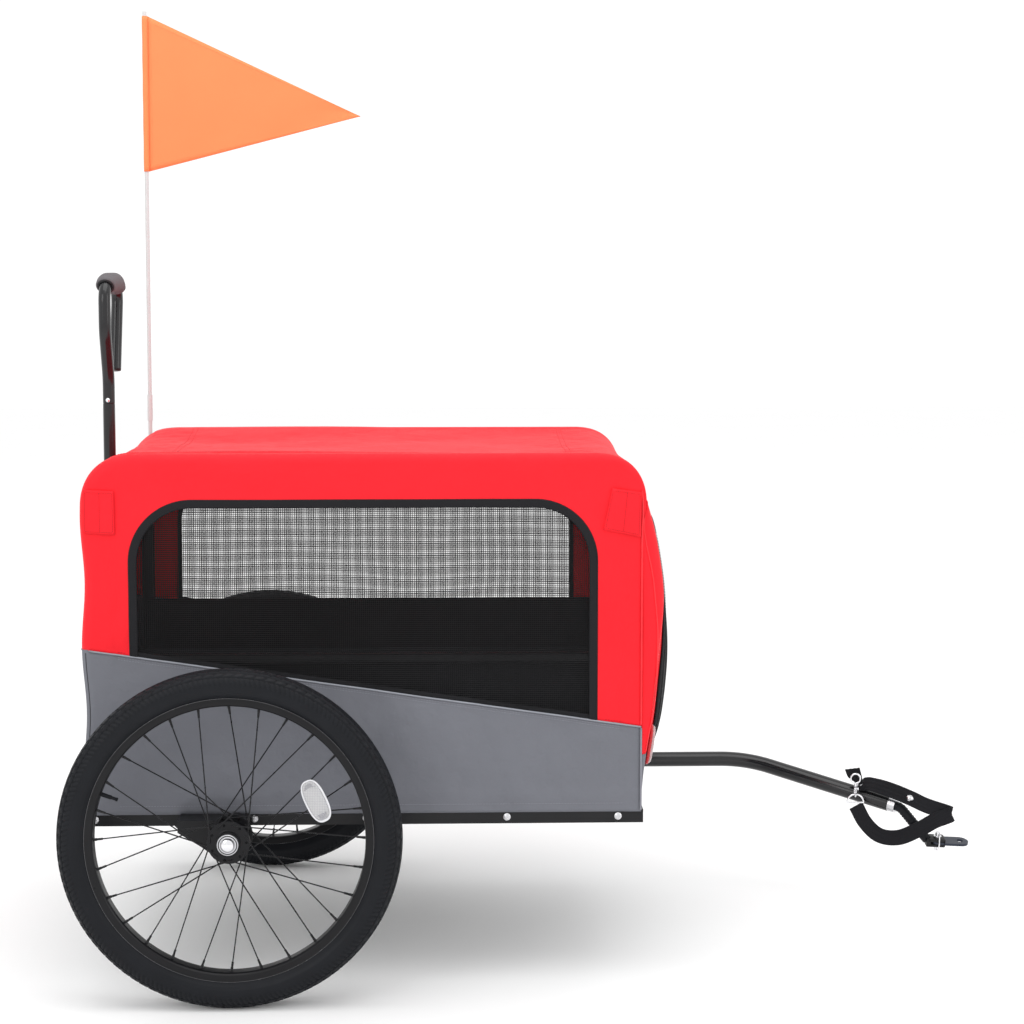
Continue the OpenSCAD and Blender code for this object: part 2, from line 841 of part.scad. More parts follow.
// Hook that closes round the ring, its shank, the ears for the gate and the eye for the webbing
module snap_hook() color([0.8, 0.8, 0.82])
    translate(hook_at) {
        rotate([90, 0, 90])
            rotate([0, 0, -175])
                rotate_extrude(angle = 265)
                    translate([hook_bend_r, 0])
                        circle(hook_wire_r, $fn = 24);
        translate([0, 0, hook_bend_r])
            cylinder(r = 2.5, h = shank_top - hook_bend_r);
        difference() {
            for (x = [-3.4, 2])
                translate([x, gate_at[0] - 2.4, gate_at[1] - 2])
                    cube([1.4, 2.4 - gate_at[0], 4]);
            rotate([0, 90, 0])
                translate([-gate_at[1], gate_at[0], -6])
                    cylinder(r = gate_pin_r + bearing_fit, h = 12);
        }
        translate([0, 0, shank_top + eye_r])
            rotate([90, 0, 0])
                rotate_extrude()
                    translate([eye_r, 0])
                        circle(hook_wire_r, $fn = 24);
    }

module hook_gate() color([0.7, 0.7, 0.72])
    translate(hook_at + [0, gate_at[0], gate_at[1]]) {
        translate([-3.8, 0, 0])
            rotate([0, 90, 0])
                cylinder(r = gate_pin_r, h = 7.6);
        translate([0, 0, -gate_at[1] + 0.9])
            cylinder(r = gate_r, h = gate_at[1] + 0.6);
    }

// ---- flag ----

module flag_pole() color([0.9, 0.9, 0.88])
    translate([pole_x, pole_y, pole_foot]) {
        cylinder(r = pole_r, h = flag_top - pole_foot);
        translate([0, 0, 520])
            cylinder(r = pole_r + 1, h = 45);
    }

module pennant() color([0.95, 0.4, 0.2])
    difference() {
        union() {
            translate([0, pole_y + pennant_t / 2, 0])
                rotate([90, 0, 0])
                    linear_extrude(height = pennant_t)
                        polygon([[pole_x, flag_top - 8],
                                 [pole_x + pennant_len, flag_top - 176],
                                 [pole_x, flag_top - 8 - pennant_h]]);
            translate([pole_x, pole_y, flag_top - 8 - pennant_h])
                cylinder(r = pole_r + pennant_t, h = pennant_h);
        }
        translate([pole_x, pole_y, flag_top - pennant_h - 20])
            cylinder(r = pole_r, h = pennant_h + 40);
    }

// ---- wheels, drawn about the wheel's own centre with +Z outboard ----

// The valve stands a little over the hub's height, towards the rear, on either side
function valve_angle(s) = 180 + 20 * s;

module on_hub(s)
    translate([axle_x, s * track / 2, axle_z])
        rotate([-90 * s, 0, 0])
            children();

module tyre(s) color([0.06, 0.06, 0.065])
    on_hub(s) {
        rotate_extrude($fn = 128)
            difference() {
                translate([tyre_d / 2 - tyre_w / 2, 0])
                    circle(tyre_w / 2);
                translate([tyre_d / 2 - tyre_w / 2, 0])
                    circle(tyre_w / 2 - 4.5);
                translate([0, -9])
                    square([tyre_d / 2 - tyre_w / 2, 18]);
                for (side = [-1, 1])
                    translate([0, side > 0 ? rim_w / 2 - rim_wall : -rim_w])
                        square([rim_edge_r, rim_w / 2 + rim_wall]);
                square([2 * rim_inner_r + 8, 60], center = true);
            }
        rotate([0, 0, valve_angle(s)])
            translate([rim_inner_r - 22, 0, 0])
                rotate([0, 90, 0])
                    cylinder(r = 3.2, h = 30);
    }

module rim(s) color([0.05, 0.05, 0.055])
    on_hub(s)
        difference() {
            rotate_extrude($fn = 128)
                difference() {
                    translate([rim_inner_r, -rim_w / 2])
                        square([rim_edge_r - rim_inner_r, rim_w]);
                    translate([rim_inner_r + 4, -rim_w / 2 + rim_wall])
                        square([30, rim_w - 2 * rim_wall]);
                }
            rotate([0, 0, valve_angle(s)])
                rotate([0, 90, 0])
                    cylinder(r = 3.2, h = rim_edge_r - 1);
            for (i = [0 : spoke_count - 1])
                rotate([0, 0, i * 360 / spoke_count])
                    translate([rim_inner_r - 1, 0, 0])
                        rotate([0, 90, 0])
                            cylinder(r = 2.2, h = 8, $fn = 24);
        }

// Crossed spokes with their nipples: even ones go to the outer flange, odd ones to the inner
module spokes(s) color([0.05, 0.05, 0.055])
    on_hub(s)
        for (i = [0 : spoke_count - 1]) {
            face = i % 2 == 0 ? 1 : -1;
            lead = floor(i / 2) % 2 == 0 ? 1 : -1;
            turn = i * 360 / spoke_count;
            lean = turn + lead * spoke_cross;
            seat = face * flange_y + lead * (flange_t / 2 + spoke_d / 2 + 0.1);
            near = [flange_holes_r * cos(lean), flange_holes_r * sin(lean), seat];
            far = [(rim_inner_r + 1) * cos(turn), (rim_inner_r + 1) * sin(turn), 0];
            bar(near, far, spoke_d / 2, $fn = 16);
            bar(far - 14 * unit(far - near), far, 2, $fn = 16);
        }

module hub(s) color([0.05, 0.05, 0.055])
    on_hub(s)
        difference() {
            union() {
                translate([0, 0, -hub_half])
                    cylinder(r = 13.5, h = 2 * hub_half);
                for (side = [-1, 1]) {
                    translate([0, 0, side * flange_y - flange_t / 2])
                        cylinder(r = flange_r, h = flange_t);
                    translate([0, 0, side > 0 ? flange_y : -hub_half])
                        cylinder(r = 17.5, h = hub_half - flange_y);
                }
            }
            cylinder(r = axle_d / 2 + 1.5, h = 3 * hub_half, center = true);
            for (side = [-1, 1])
                translate([0, 0, side > 0 ? hub_half - bearing_w : -hub_half - 1])
                    cylinder(r = hub_bore_r, h = bearing_w + 1);
        }

module bearings(s) color([0.7, 0.7, 0.72])
    on_hub(s)
        for (side = [-1, 1])
            translate([0, 0, side > 0 ? hub_half - bearing_w : -hub_half])
                difference() {
                    cylinder(r = hub_bore_r, h = bearing_w);
                    translate([0, 0, -1])
                        cylinder(r = axle_d / 2 + bearing_fit, h = bearing_w + 2);
                }

module spoke_reflector(s) color([0.85, 0.85, 0.87])
    on_hub(s)
        rotate([0, 0, -s * spoke_lamp_turn])
            translate([spoke_lamp_r, 0, 12.5])
                rotate([0, 0, 90])
                    oval_reflector(66, 32, 5);

module axle(s) color([0.72, 0.72, 0.74])
    on_hub(s)
        difference() {
            union() {
                translate([0, 0, rail_y + 2 - track / 2])
                    cylinder(r = axle_d / 2, h = track / 2 - rail_y - 2 + cap_out - 8);
                translate([0, 0, hub_half + 0.4])
                    cylinder(r = cap_r, h = cap_out - 4 - hub_half - 0.4);
            }
            translate([0, 0, hub_half + 3.4])
                cylinder(r = button_d / 2 + bore_fit, h = cap_out);
            translate([0, 0, -60])
                cylinder(r = 2.5 + bore_fit, h = 120);
        }

module axle_button(s) color([0.82, 0.82, 0.84])
    on_hub(s)
        rotate_extrude() {
            intersection() {
                translate([0, cap_out - 16])
                    circle(16);
                translate([0, hub_half + 6.6])
                    square([button_d / 2, cap_out]);
            }
            translate([0, -55])
                square([2.5, 60 + hub_half + 4]);
        }

// ---- every node, one line each ----

base_frame();
floor_panel();
side_hoop(1);  // side_hoop_left
side_hoop(-1);  // side_hoop_right
cross_tubes();
rail_screws();
axle_bracket(1);  // axle_bracket_left
axle_bracket(-1);  // axle_bracket_right
arm_bracket();
arm_pivot_bolt();
flag_socket();
handle_post();
post_clamp();
side_panel(1);  // side_panel_left
side_panel(-1);  // side_panel_right
side_skirt(1);  // side_skirt_left
side_skirt(-1);  // side_skirt_right
window(1);  // window_left
window(-1);  // window_right
roof_panel();
rear_panel();
front_surround();
inner_liners();
corner_tabs();
front_reflectors();
rear_reflectors();
front_door();
zip_slider();
handle_tube();
foam_grip();
handle_button();
hitch_arm();
arm_collar();
safety_strap();
strap_rivets();
d_ring();
snap_hook();
hook_gate();
hitch_neck();
hitch_plate();
hitch_pin();
flag_pole();
pennant();
tyre(1);  // tyre_left
tyre(-1);  // tyre_right
rim(1);  // rim_left
rim(-1);  // rim_right
spokes(1);  // spokes_left
spokes(-1);  // spokes_right
hub(1);  // hub_left
hub(-1);  // hub_right
bearings(1);  // bearings_left
bearings(-1);  // bearings_right
spoke_reflector(1);  // spoke_reflector_left
spoke_reflector(-1);  // spoke_reflector_right
axle(1);  // axle_left
axle(-1);  // axle_right
axle_button(1);  // axle_button_left
axle_button(-1);  // axle_button_right
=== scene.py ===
import math

import bpy
import numpy as np
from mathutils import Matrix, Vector


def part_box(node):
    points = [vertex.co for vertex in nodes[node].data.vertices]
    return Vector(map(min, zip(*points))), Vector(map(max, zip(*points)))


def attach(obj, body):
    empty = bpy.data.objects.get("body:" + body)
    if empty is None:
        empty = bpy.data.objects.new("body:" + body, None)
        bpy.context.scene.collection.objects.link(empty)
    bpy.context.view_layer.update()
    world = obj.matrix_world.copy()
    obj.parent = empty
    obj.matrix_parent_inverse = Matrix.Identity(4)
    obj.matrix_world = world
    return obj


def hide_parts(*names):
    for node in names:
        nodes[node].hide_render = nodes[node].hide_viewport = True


# Bicycle trailer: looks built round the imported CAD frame. Millimetre helpers measure X from the axle.
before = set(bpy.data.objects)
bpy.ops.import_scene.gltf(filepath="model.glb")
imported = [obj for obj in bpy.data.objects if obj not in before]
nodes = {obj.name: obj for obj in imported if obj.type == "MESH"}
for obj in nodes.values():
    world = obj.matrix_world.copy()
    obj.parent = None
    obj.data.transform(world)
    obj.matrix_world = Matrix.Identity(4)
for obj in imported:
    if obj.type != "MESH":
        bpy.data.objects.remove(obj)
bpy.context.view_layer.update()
scene = bpy.context.scene

AXLE_X = sum(p.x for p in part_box("rim_right")) / 2 * 1000
AXLE_Z = sum(p.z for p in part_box("rim_right")) / 2 * 1000
TRACK_Y = sum(p.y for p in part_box("rim_left")) / 2 * 1000


def at(p):
    """Points in mm, X from the axle, as points in metres in the row frame."""
    p = np.asarray(p, float)
    return (p + np.array([AXLE_X, 0, 0])) / 1000


def smooth(x, low=0.0, high=1.0):
    t = np.clip((np.asarray(x, float) - low) / (high - low), 0, 1)
    return t * t * (3 - 2 * t)


def wobble(p, scale, seed, stretch=(1, 1, 1)):
    """A soft, seeded random field of about -1 to 1 at the points p, in mm."""
    rng = np.random.default_rng(seed)
    p = np.asarray(p, float) / (np.array(stretch) * scale)
    total = np.zeros(p.shape[:-1])
    for _ in range(7):
        k = rng.normal(size=3)
        k *= rng.uniform(0.6, 1.5) / np.linalg.norm(k)
        total += np.sin(2 * math.pi * (p @ k) + rng.uniform(0, 6.28))
    return total / 3.5


# ---- camera, light and floor ----

camera = bpy.data.objects.new("camera", bpy.data.cameras.new("camera"))
scene.collection.objects.link(camera)
camera.location = (-0.1508, -3.2110, 1.0776)
camera.rotation_euler = (math.radians(90 - 4.689), 0, math.radians(-1.604))
camera.data.lens = 70.65
camera.data.sensor_width = 36
camera.data.shift_x = 0.0078
camera.data.shift_y = -0.0801
camera.data.clip_end = 100
scene.camera = camera
scene.view_settings.view_transform = "Standard"

world = bpy.data.worlds.new("studio")
scene.world = world
world.use_nodes = True
world.node_tree.nodes["Background"].inputs["Color"].default_value = (1, 1, 1, 1)
world.node_tree.nodes["Background"].inputs["Strength"].default_value = 1.08


def soft_light(name, place, target, size, power):
    lamp = bpy.data.lights.new(name, "AREA")
    lamp.shape = "RECTANGLE"
    lamp.size, lamp.size_y = size
    lamp.energy = power
    o = bpy.data.objects.new(name, lamp)
    scene.collection.objects.link(o)
    o.location = place
    o.rotation_euler = (Vector(target) - Vector(place)).to_track_quat("-Z", "Y").to_euler()


soft_light("top_box", (-0.2, -0.6, 3.2), (0, 0, 0.5), (2.6, 2.2), 34)
soft_light("key_box", (-2.2, -2.6, 1.9), (-0.1, 0, 0.5), (1.4, 1.6), 16)
soft_light("edge_box", (2.6, -1.2, 1.6), (0.1, 0, 0.5), (1.0, 1.8), 12)


# ---- materials ----

def new_material(name, colour, rough, metal=0.0, specular=0.5):
    m = bpy.data.materials.new(name)
    m.use_nodes = True
    s = m.node_tree.nodes["Principled BSDF"]
    s.inputs["Base Color"].default_value = (*colour, 1)
    s.inputs["Roughness"].default_value = rough
    s.inputs["Metallic"].default_value = metal
    s.inputs["Specular IOR Level"].default_value = specular
    return m, m.node_tree, s


def node(tree, kind, **values):
    n = tree.nodes.new(kind)
    for key, value in values.items():
        if key in n.inputs:
            n.inputs[key].default_value = value
        else:
            setattr(n, key, value)
    return n


def coords(tree, attribute=None):
    if attribute:
        return node(tree, "ShaderNodeAttribute", attribute_name=attribute).outputs["Vector"]
    return node(tree, "ShaderNodeTexCoord").outputs["Object"]


def noise(tree, vector, scale, detail=3.0, rough=0.55):
    n = node(tree, "ShaderNodeTexNoise", Scale=scale, Detail=detail, Roughness=rough)
    tree.links.new(vector, n.inputs["Vector"])
    return n.outputs["Fac"]


def remap(tree, value, low, high, a=0.0, b=1.0):
    n = node(tree, "ShaderNodeMapRange")
    n.inputs["From Min"].default_value = a
    n.inputs["From Max"].default_value = b
    n.inputs["To Min"].default_value = low
    n.inputs["To Max"].default_value = high
    tree.links.new(value, n.inputs["Value"])
    return n.outputs["Result"]


def tint(tree, value, dark, light, socket):
    n = node(tree, "ShaderNodeMix", data_type="RGBA")
    n.inputs[6].default_value = (*dark, 1)
    n.inputs[7].default_value = (*light, 1)
    tree.links.new(value, n.inputs[0])
    tree.links.new(n.outputs[2], socket)


def bump(tree, shader, height, strength, distance, under=None):
    n = node(tree, "ShaderNodeBump", Strength=strength, Distance=distance)
    tree.links.new(height, n.inputs["Height"])
    if under is not None:
        tree.links.new(under, n.inputs["Normal"])
    tree.links.new(n.outputs["Normal"], shader.inputs["Normal"])
    return n.outputs["Normal"]


def weave(tree, vector, pitch):
    """Height of a plain weave whose threads are pitch metres apart, on the first two of the vector's numbers."""
    split = node(tree, "ShaderNodeSeparateXYZ")
    tree.links.new(vector, split.inputs[0])
    waves = []
    for axis in (0, 1):
        scaled = node(tree, "ShaderNodeMath", operation="MULTIPLY")
        scaled.inputs[1].default_value = math.pi / pitch
        tree.links.new(split.outputs[axis], scaled.inputs[0])
        wave = node(tree, "ShaderNodeMath", operation="SINE")
        tree.links.new(scaled.outputs[0], wave.inputs[0])
        waves.append(wave.outputs[0])
    product = node(tree, "ShaderNodeMath", operation="MULTIPLY")
    tree.links.new(waves[0], product.inputs[0])
    tree.links.new(waves[1], product.inputs[1])
    return product.outputs[0]


def shades(colour, down, up):
    return tuple(c * down for c in colour), tuple(min(1.0, c * up) for c in colour)


def cloth(name, colour, rough=0.62, pitch=0.0006, sheen=0.15, depth=0.00012, crease=0.0012):
    """Coated woven polyester: threads, soft creases and a slightly uneven dye."""
    m, tree, s = new_material(name, colour, rough, specular=0.12)
    place = coords(tree)
    threads = coords(tree, "weave")
    dark, light = shades(colour, 0.93, 1.05)
    tint(tree, noise(tree, place, 9, 4), dark, light, s.inputs["Base Color"])
    tree.links.new(remap(tree, noise(tree, place, 60, 3), rough - 0.07, rough + 0.07), s.inputs["Roughness"])
    s.inputs["Sheen Weight"].default_value = sheen * 0.2
    s.inputs["Sheen Roughness"].default_value = 0.5
    soft = bump(tree, s, noise(tree, place, 16, 4, 0.5), 0.45, crease * 6)
    bump(tree, s, weave(tree, threads, pitch), 0.5, depth, soft)
    return m


def coated(name, colour, rough=0.3, grain=220, depth=0.0001, metal=0.0, coat=0.0, worn=1.25, gloss=0.2):
    """Painted, plated or moulded surface: faint grain, dust and small changes of gloss."""
    m, tree, s = new_material(name, colour, rough, metal, 0.5 if metal else gloss)
    place = coords(tree)
    dark, light = shades(colour, 0.88, worn)
    tint(tree, noise(tree, place, 30, 4), dark, light, s.inputs["Base Color"])
    tree.links.new(remap(tree, noise(tree, place, 90, 4), max(0.03, rough - 0.07), rough + 0.09), s.inputs["Roughness"])
    bump(tree, s, noise(tree, place, grain, 3), 0.25, depth)
    s.inputs["Coat Weight"].default_value = coat
    s.inputs["Coat Roughness"].default_value = 0.12
    return m


def webbing(name, colour, rough=0.7, rib=0.0016):
    """Woven tape: ribs across its length, from the weave attribute."""
    m, tree, s = new_material(name, colour, rough, specular=0.12)
    threads = coords(tree, "weave")
    split = node(tree, "ShaderNodeSeparateXYZ")
    tree.links.new(threads, split.inputs[0])
    scaled = node(tree, "ShaderNodeMath", operation="MULTIPLY")
    scaled.inputs[1].default_value = 2 * math.pi / rib
    tree.links.new(split.outputs[0], scaled.inputs[0])
    ribs = node(tree, "ShaderNodeMath", operation="SINE")
    tree.links.new(scaled.outputs[0], ribs.inputs[0])
    # rib crests are painted lighter and rib troughs darker: painted highlight and painted shade in step with the rib
    # bump
    dark, light = shades(colour, 0.7, 1.5)
    tint(tree, remap(tree, ribs.outputs[0], 0, 1, -1, 1), dark, light, s.inputs["Base Color"])
    first = bump(tree, s, ribs.outputs[0], 0.6, 0.0003)
    bump(tree, s, weave(tree, threads, 0.0007), 0.5, 0.0001, first)
    s.inputs["Sheen Weight"].default_value = 0.03
    s.inputs["Sheen Roughness"].default_value = 0.4
    return m


RED = (0.86, 0.016, 0.026)
GREY = (0.158, 0.163, 0.185)
mat = {
    "red": cloth("red_polyester", RED, rough=0.55, crease=0.0018),
    "grey": cloth("grey_polyester", GREY, rough=0.6, sheen=0.2, crease=0.0026),
    "lining": cloth("black_lining", (0.012, 0.012, 0.014), rough=0.75, sheen=0.3),
    "floor_cloth": cloth("floor_cover", (0.018, 0.018, 0.020), rough=0.8, sheen=0.3),
    "flag": cloth("flag_nylon", (1.0, 0.255, 0.098), rough=0.6, pitch=0.0004, sheen=0.1, crease=0.0006),
    "net": coated("net_thread", (0.012, 0.012, 0.013), rough=0.55, grain=400),
    "tape": webbing("binding_tape", (0.014, 0.014, 0.016), rib=0.0014),
    "strap": webbing("strap_webbing", (0.010, 0.010, 0.012), rib=0.0018),
    "red_thread": coated("red_thread", (0.34, 0.008, 0.014), rough=0.6, grain=900),
    "grey_thread": coated("grey_thread", (0.22, 0.22, 0.25), rough=0.6, grain=900),
    "black_thread": coated("black_thread", (0.02, 0.02, 0.022), rough=0.6, grain=900),
    "piping_red": coated("piping_red", (0.78, 0.03, 0.04), rough=0.45, grain=500),
    "piping_grey": coated("piping_grey", (0.25, 0.26, 0.29), rough=0.5, grain=500),
    "paint": coated("black_paint", (0.008, 0.008, 0.009), rough=0.2, grain=300, depth=0.00006, coat=0.2, worn=1.6, gloss=0.35),
    "frame_paint": coated("frame_paint", (0.010, 0.010, 0.011), rough=0.38, grain=420, depth=0.00008, worn=1.6),
    "dark_steel": coated("blued_steel", (0.035, 0.040, 0.055), rough=0.34, grain=260, metal=0.85),
    "plate_steel": coated("zinc_plate", (0.62, 0.62, 0.64), rough=0.27, grain=350, metal=1.0, worn=1.15),
    "chrome": coated("chrome", (0.80, 0.80, 0.82), rough=0.12, grain=260, depth=0.00003, metal=1.0, worn=1.1),
    "alloy": coated("bare_alloy", (0.55, 0.55, 0.57), rough=0.32, grain=500, metal=1.0, worn=1.2),
    "rubber": coated("tyre_rubber", (0.0055, 0.0062, 0.0082), rough=0.45, grain=700, depth=0.00015, worn=1.6, gloss=0.17),
    "rim_paint": coated("rim_paint", (0.006, 0.006, 0.007), rough=0.3, grain=300, depth=0.00005, worn=1.6),
    "plastic": coated("black_plastic", (0.013, 0.013, 0.014), rough=0.42, grain=600, depth=0.00015, worn=1.5),
    "foam": coated("grey_foam", (0.105, 0.098, 0.104), rough=0.85, grain=1500, depth=0.0006, worn=1.5),
    "foam_end": coated("foam_end", (0.03, 0.03, 0.032), rough=0.9, grain=1200, depth=0.0008, worn=1.5),
    "pole": coated("white_pole", (0.60, 0.60, 0.60), rough=0.35, grain=200, depth=0.00004, worn=1.05),
}


def lens(name, colour, rough=0.12, cell=0.0024, through=0.5):
    """Moulded reflector plastic: a field of small prisms under a smooth face."""
    m, tree, s = new_material(name, colour, rough)
    place = coords(tree)
    cells = node(tree, "ShaderNodeTexVoronoi", Scale=1 / cell)
    cells.inputs["Randomness"].default_value = 0.05
    tree.links.new(place, cells.inputs["Vector"])
    # prism cells are painted lighter in their middles and darker towards their edges: painted glint and painted shade
    # in step with the prism bump
    dark, light = shades(colour, 0.7, 1.25)
    tint(tree, remap(tree, cells.outputs["Distance"], 0, 1, 0, 0.7), light, dark, s.inputs["Base Color"])
    bump(tree, s, cells.outputs["Distance"], 0.8, 0.0006)
    s.inputs["Transmission Weight"].default_value = through
    s.inputs["Coat Weight"].default_value = 1.0
    s.inputs["Coat Roughness"].default_value = 0.04
    return m


mat["clear_lens"] = lens("clear_lens", (0.80, 0.80, 0.82))
mat["red_lens"] = lens("red_lens", (0.55, 0.01, 0.02))
mat["pink_lens"] = lens("front_lens", (0.85, 0.55, 0.56))


# ---- mesh building ----

def piece(name, points, faces, material, body, stands_for=(), threads=None, smooth_faces=True):
    """A mesh piece in metres that rides on a body and stands for CAD nodes."""
    mesh = bpy.data.meshes.new(name)
    mesh.from_pydata(np.asarray(points, float).tolist(), [], [list(map(int, f)) for f in faces])
    mesh.validate()
    mesh.polygons.foreach_set("use_smooth", [smooth_faces] * len(mesh.polygons))
    if threads is not None:
        layer = mesh.attributes.new("weave", "FLOAT_VECTOR", "POINT")
        layer.data.foreach_set("vector", np.asarray(threads, np.float32).ravel())
    mesh.materials.append(material)
    o = bpy.data.objects.new(name, mesh)
    scene.collection.objects.link(o)
    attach(o, body)
    if stands_for:
        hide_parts(*stands_for)
    return o


def grid_quads(nu, nv, loop_u=False, loop_v=False):
    u = np.arange(nu if loop_u else nu - 1)
    v = np.arange(nv if loop_v else nv - 1)
    a, b = np.meshgrid(u, v, indexing="ij")
    a2, b2 = (a + 1) % nu, (b + 1) % nv
    return np.stack([a * nv + b, a2 * nv + b, a2 * nv + b2, a * nv + b2], -1).reshape(-1, 4)


def grid_normals(p):
    n = np.cross(np.gradient(p, axis=0), np.gradient(p, axis=1))
    return n / np.maximum(np.linalg.norm(n, axis=-1, keepdims=True), 1e-12)


def grid_lengths(p):
    """Distances along both ways of a grid of points, in metres, for the weave."""
    du = np.linalg.norm(np.diff(p, axis=0), axis=-1).mean(1)
    dv = np.linalg.norm(np.diff(p, axis=1), axis=-1).mean(0)
    u, v = np.concatenate([[0], np.cumsum(du)]), np.concatenate([[0], np.cumsum(dv)])
    uu, vv = np.meshgrid(u, v, indexing="ij")
    return np.stack([uu, vv, np.zeros_like(uu)], -1)


def shell(name, p, thick, out, material, body, stands_for=(), keep=None):
    """A grid of points in mm made into a closed sheet, its back thick mm behind the face that looks along out.
    keep marks the cells that stay."""
    p = at(p)
    n = grid_normals(p)
    if (n * np.asarray(out, float)).sum() < 0:
        p = p[::-1]
        n = grid_normals(p)
        keep = None if keep is None else keep[::-1]
    nu, nv = p.shape[:2]
    quads = grid_quads(nu, nv)
    if keep is not None:
        quads = quads[keep.reshape(-1)]
    back = p - n * thick / 1000
    count = nu * nv
    edges = np.concatenate([quads[:, [k, (k + 1) % 4]] for k in range(4)])
    keys = {}
    for a, b in edges:
        keys[(a, b)] = keys.get((a, b), 0) + 1
    walls = [(b, a, a + count, b + count) for a, b in keys if (b, a) not in keys]
    faces = [*quads.tolist(), *(quads[:, ::-1] + count).tolist(), *walls]
    points = np.concatenate([p.reshape(-1, 3), back.reshape(-1, 3)])
    threads = grid_lengths(p).reshape(-1, 3)
    threads = np.concatenate([threads, threads])
    used = np.unique(np.concatenate([np.asarray(f) for f in faces]))
    renumber = -np.ones(len(points), int)
    renumber[used] = np.arange(len(used))
    o = piece(name, points[used], [renumber[list(f)] for f in faces], material, body, stands_for, threads[used])
    return o


def frames(path):
    """Tangent, side and top directions that turn as little as they can along a path."""
    t = np.gradient(path, axis=0)
    t /= np.linalg.norm(t, axis=1, keepdims=True)
    side = np.cross(t[0], [0, 0, 1.0] if abs(t[0][2]) < 0.9 else [1.0, 0, 0])
    sides = []
    for k in t:
        side = side - k * (side @ k)
        side /= np.linalg.norm(side)
        sides.append(side.copy())
    sides = np.array(sides)
    return t, sides, np.cross(t, sides)


def tube_data(path, radius, sides=16, closed=False, caps=True):
    """Points and faces of a round tube along a path in metres."""
    path = np.asarray(path, float)
    t, a, b = frames(path)
    r = np.broadcast_to(np.asarray(radius, float), (len(path),))[:, None, None]
    turn = np.arange(sides) * 2 * math.pi / sides
    ring = np.cos(turn)[None, :, None] * a[:, None] + np.sin(turn)[None, :, None] * b[:, None]
    points = (path[:, None] + ring * r).reshape(-1, 3)
    faces = grid_quads(len(path), sides, closed, True)[:, ::-1].tolist()
    if caps and not closed:
        faces.append(list(range(sides))[::1])
        last = (len(path) - 1) * sides
        faces.append([last + k for k in range(sides)][::-1])
    return points, faces


def join(parts):
    points, faces, start = [], [], 0
    for p, f in parts:
        points.append(np.asarray(p, float))
        faces += [[int(k) + start for k in g] for g in f]
        start += len(p)
    return np.concatenate(points), faces


def tube(name, path_mm, radius_mm, material, body, stands_for=(), sides=16, closed=False):
    points, faces = tube_data(at(path_mm), np.asarray(radius_mm, float) / 1000, sides, closed)
    return piece(name, points, faces, material, body, stands_for)


def turned_data(profile, centre, axis, steps=96):
    """Points and faces of a closed profile (distance along the axis, radius), in mm, turned round an axis."""
    centre, axis = at(centre), np.asarray(axis, float) / np.linalg.norm(axis)
    a = np.cross(axis, [0, 0, 1.0] if abs(axis[2]) < 0.9 else [1.0, 0, 0])
    a /= np.linalg.norm(a)
    b = np.cross(axis, a)
    turn = np.arange(steps) * 2 * math.pi / steps
    ring = np.cos(turn)[:, None] * a + np.sin(turn)[:, None] * b
    profile = np.asarray(profile, float) / 1000
    points = centre + axis * profile[None, :, :1] + ring[:, None] * profile[None, :, 1:]
    return points.reshape(-1, 3), grid_quads(steps, len(profile), True, True).tolist()


def rounded(profile, bevel, steps=3):
    """Corners of a closed polygon cut to small arcs."""
    profile = np.asarray(profile, float)
    out = []
    for k in range(len(profile)):
        p, a, b = profile[k], profile[k - 1], profile[(k + 1) % len(profile)]
        la, lb = np.linalg.norm(a - p), np.linalg.norm(b - p)
        r = min(bevel, la * 0.4, lb * 0.4)
        pa, pb = p + (a - p) / la * r, p + (b - p) / lb * r
        for j in range(steps + 1):
            f = j / steps
            out.append((1 - f) ** 2 * pa + 2 * f * (1 - f) * p + f * f * pb)
    return np.array(out)


def turned(name, profile, centre, axis, material, body, slot, stands_for=(), steps=96, bevel=0.4):
    points, faces = turned_data(rounded(profile, bevel), centre, axis, steps)
    o = piece(name, points, faces, material, body, stands_for)
    outward(o)
    return o


def outward(o):
    import bmesh

    b = bmesh.new()
    b.from_mesh(o.data)
    bmesh.ops.remove_doubles(b, verts=b.verts, dist=1e-7)
    bmesh.ops.recalc_face_normals(b, faces=b.faces)
    b.to_mesh(o.data)
    b.free()


def stitches(name, lines, material, body, pitch=4.2, length=2.9, r=0.35, lift=0.15):
    """Rows of thread, each row a line of points in mm with the cloth's outward direction."""
    parts = []
    for line, out in lines:
        line = np.asarray(line, float)
        out = np.broadcast_to(np.asarray(out, float), line.shape)
        step = np.linalg.norm(np.diff(line, axis=0), axis=1)
        along = np.concatenate([[0], np.cumsum(step)])
        starts = np.arange(1, along[-1] - length, pitch)
        pick = lambda d, data: np.stack([np.interp(d, along, data[:, k]) for k in range(3)], -1)
        for d in starts:
            s = np.array([d, d + length * 0.2, d + length * 0.8, d + length])
            q = pick(s, line) + pick(s, out) * np.array([[-0.3], [lift], [lift], [-0.3]])
            parts.append(tube_data(at(q), r / 1000, 5))
    points, faces = join(parts)
    return piece(name, points, faces, material, body)


# ---- cover: outlines in X (from the axle) and Z, in mm ----

SIDE_Y = 252.3
SEAM_SLOPE = (388 - 507) / 819
ROLL = 14
REAR_X, FRONT_X, SEAM_X = -226, 612, 605


def seam_z(x):
    return 507 + SEAM_SLOPE * (np.asarray(x, float) + 213)


def rear_edge(z):
    """The rear edge of the cover billows a little between its fastenings."""
    return REAR_X - 2.8 * np.cos(2 * math.pi * (np.asarray(z, float) - 705) / 195)


def front_edge(z):
    return SEAM_X + (FRONT_X - SEAM_X) * smooth(z, 690, 722)


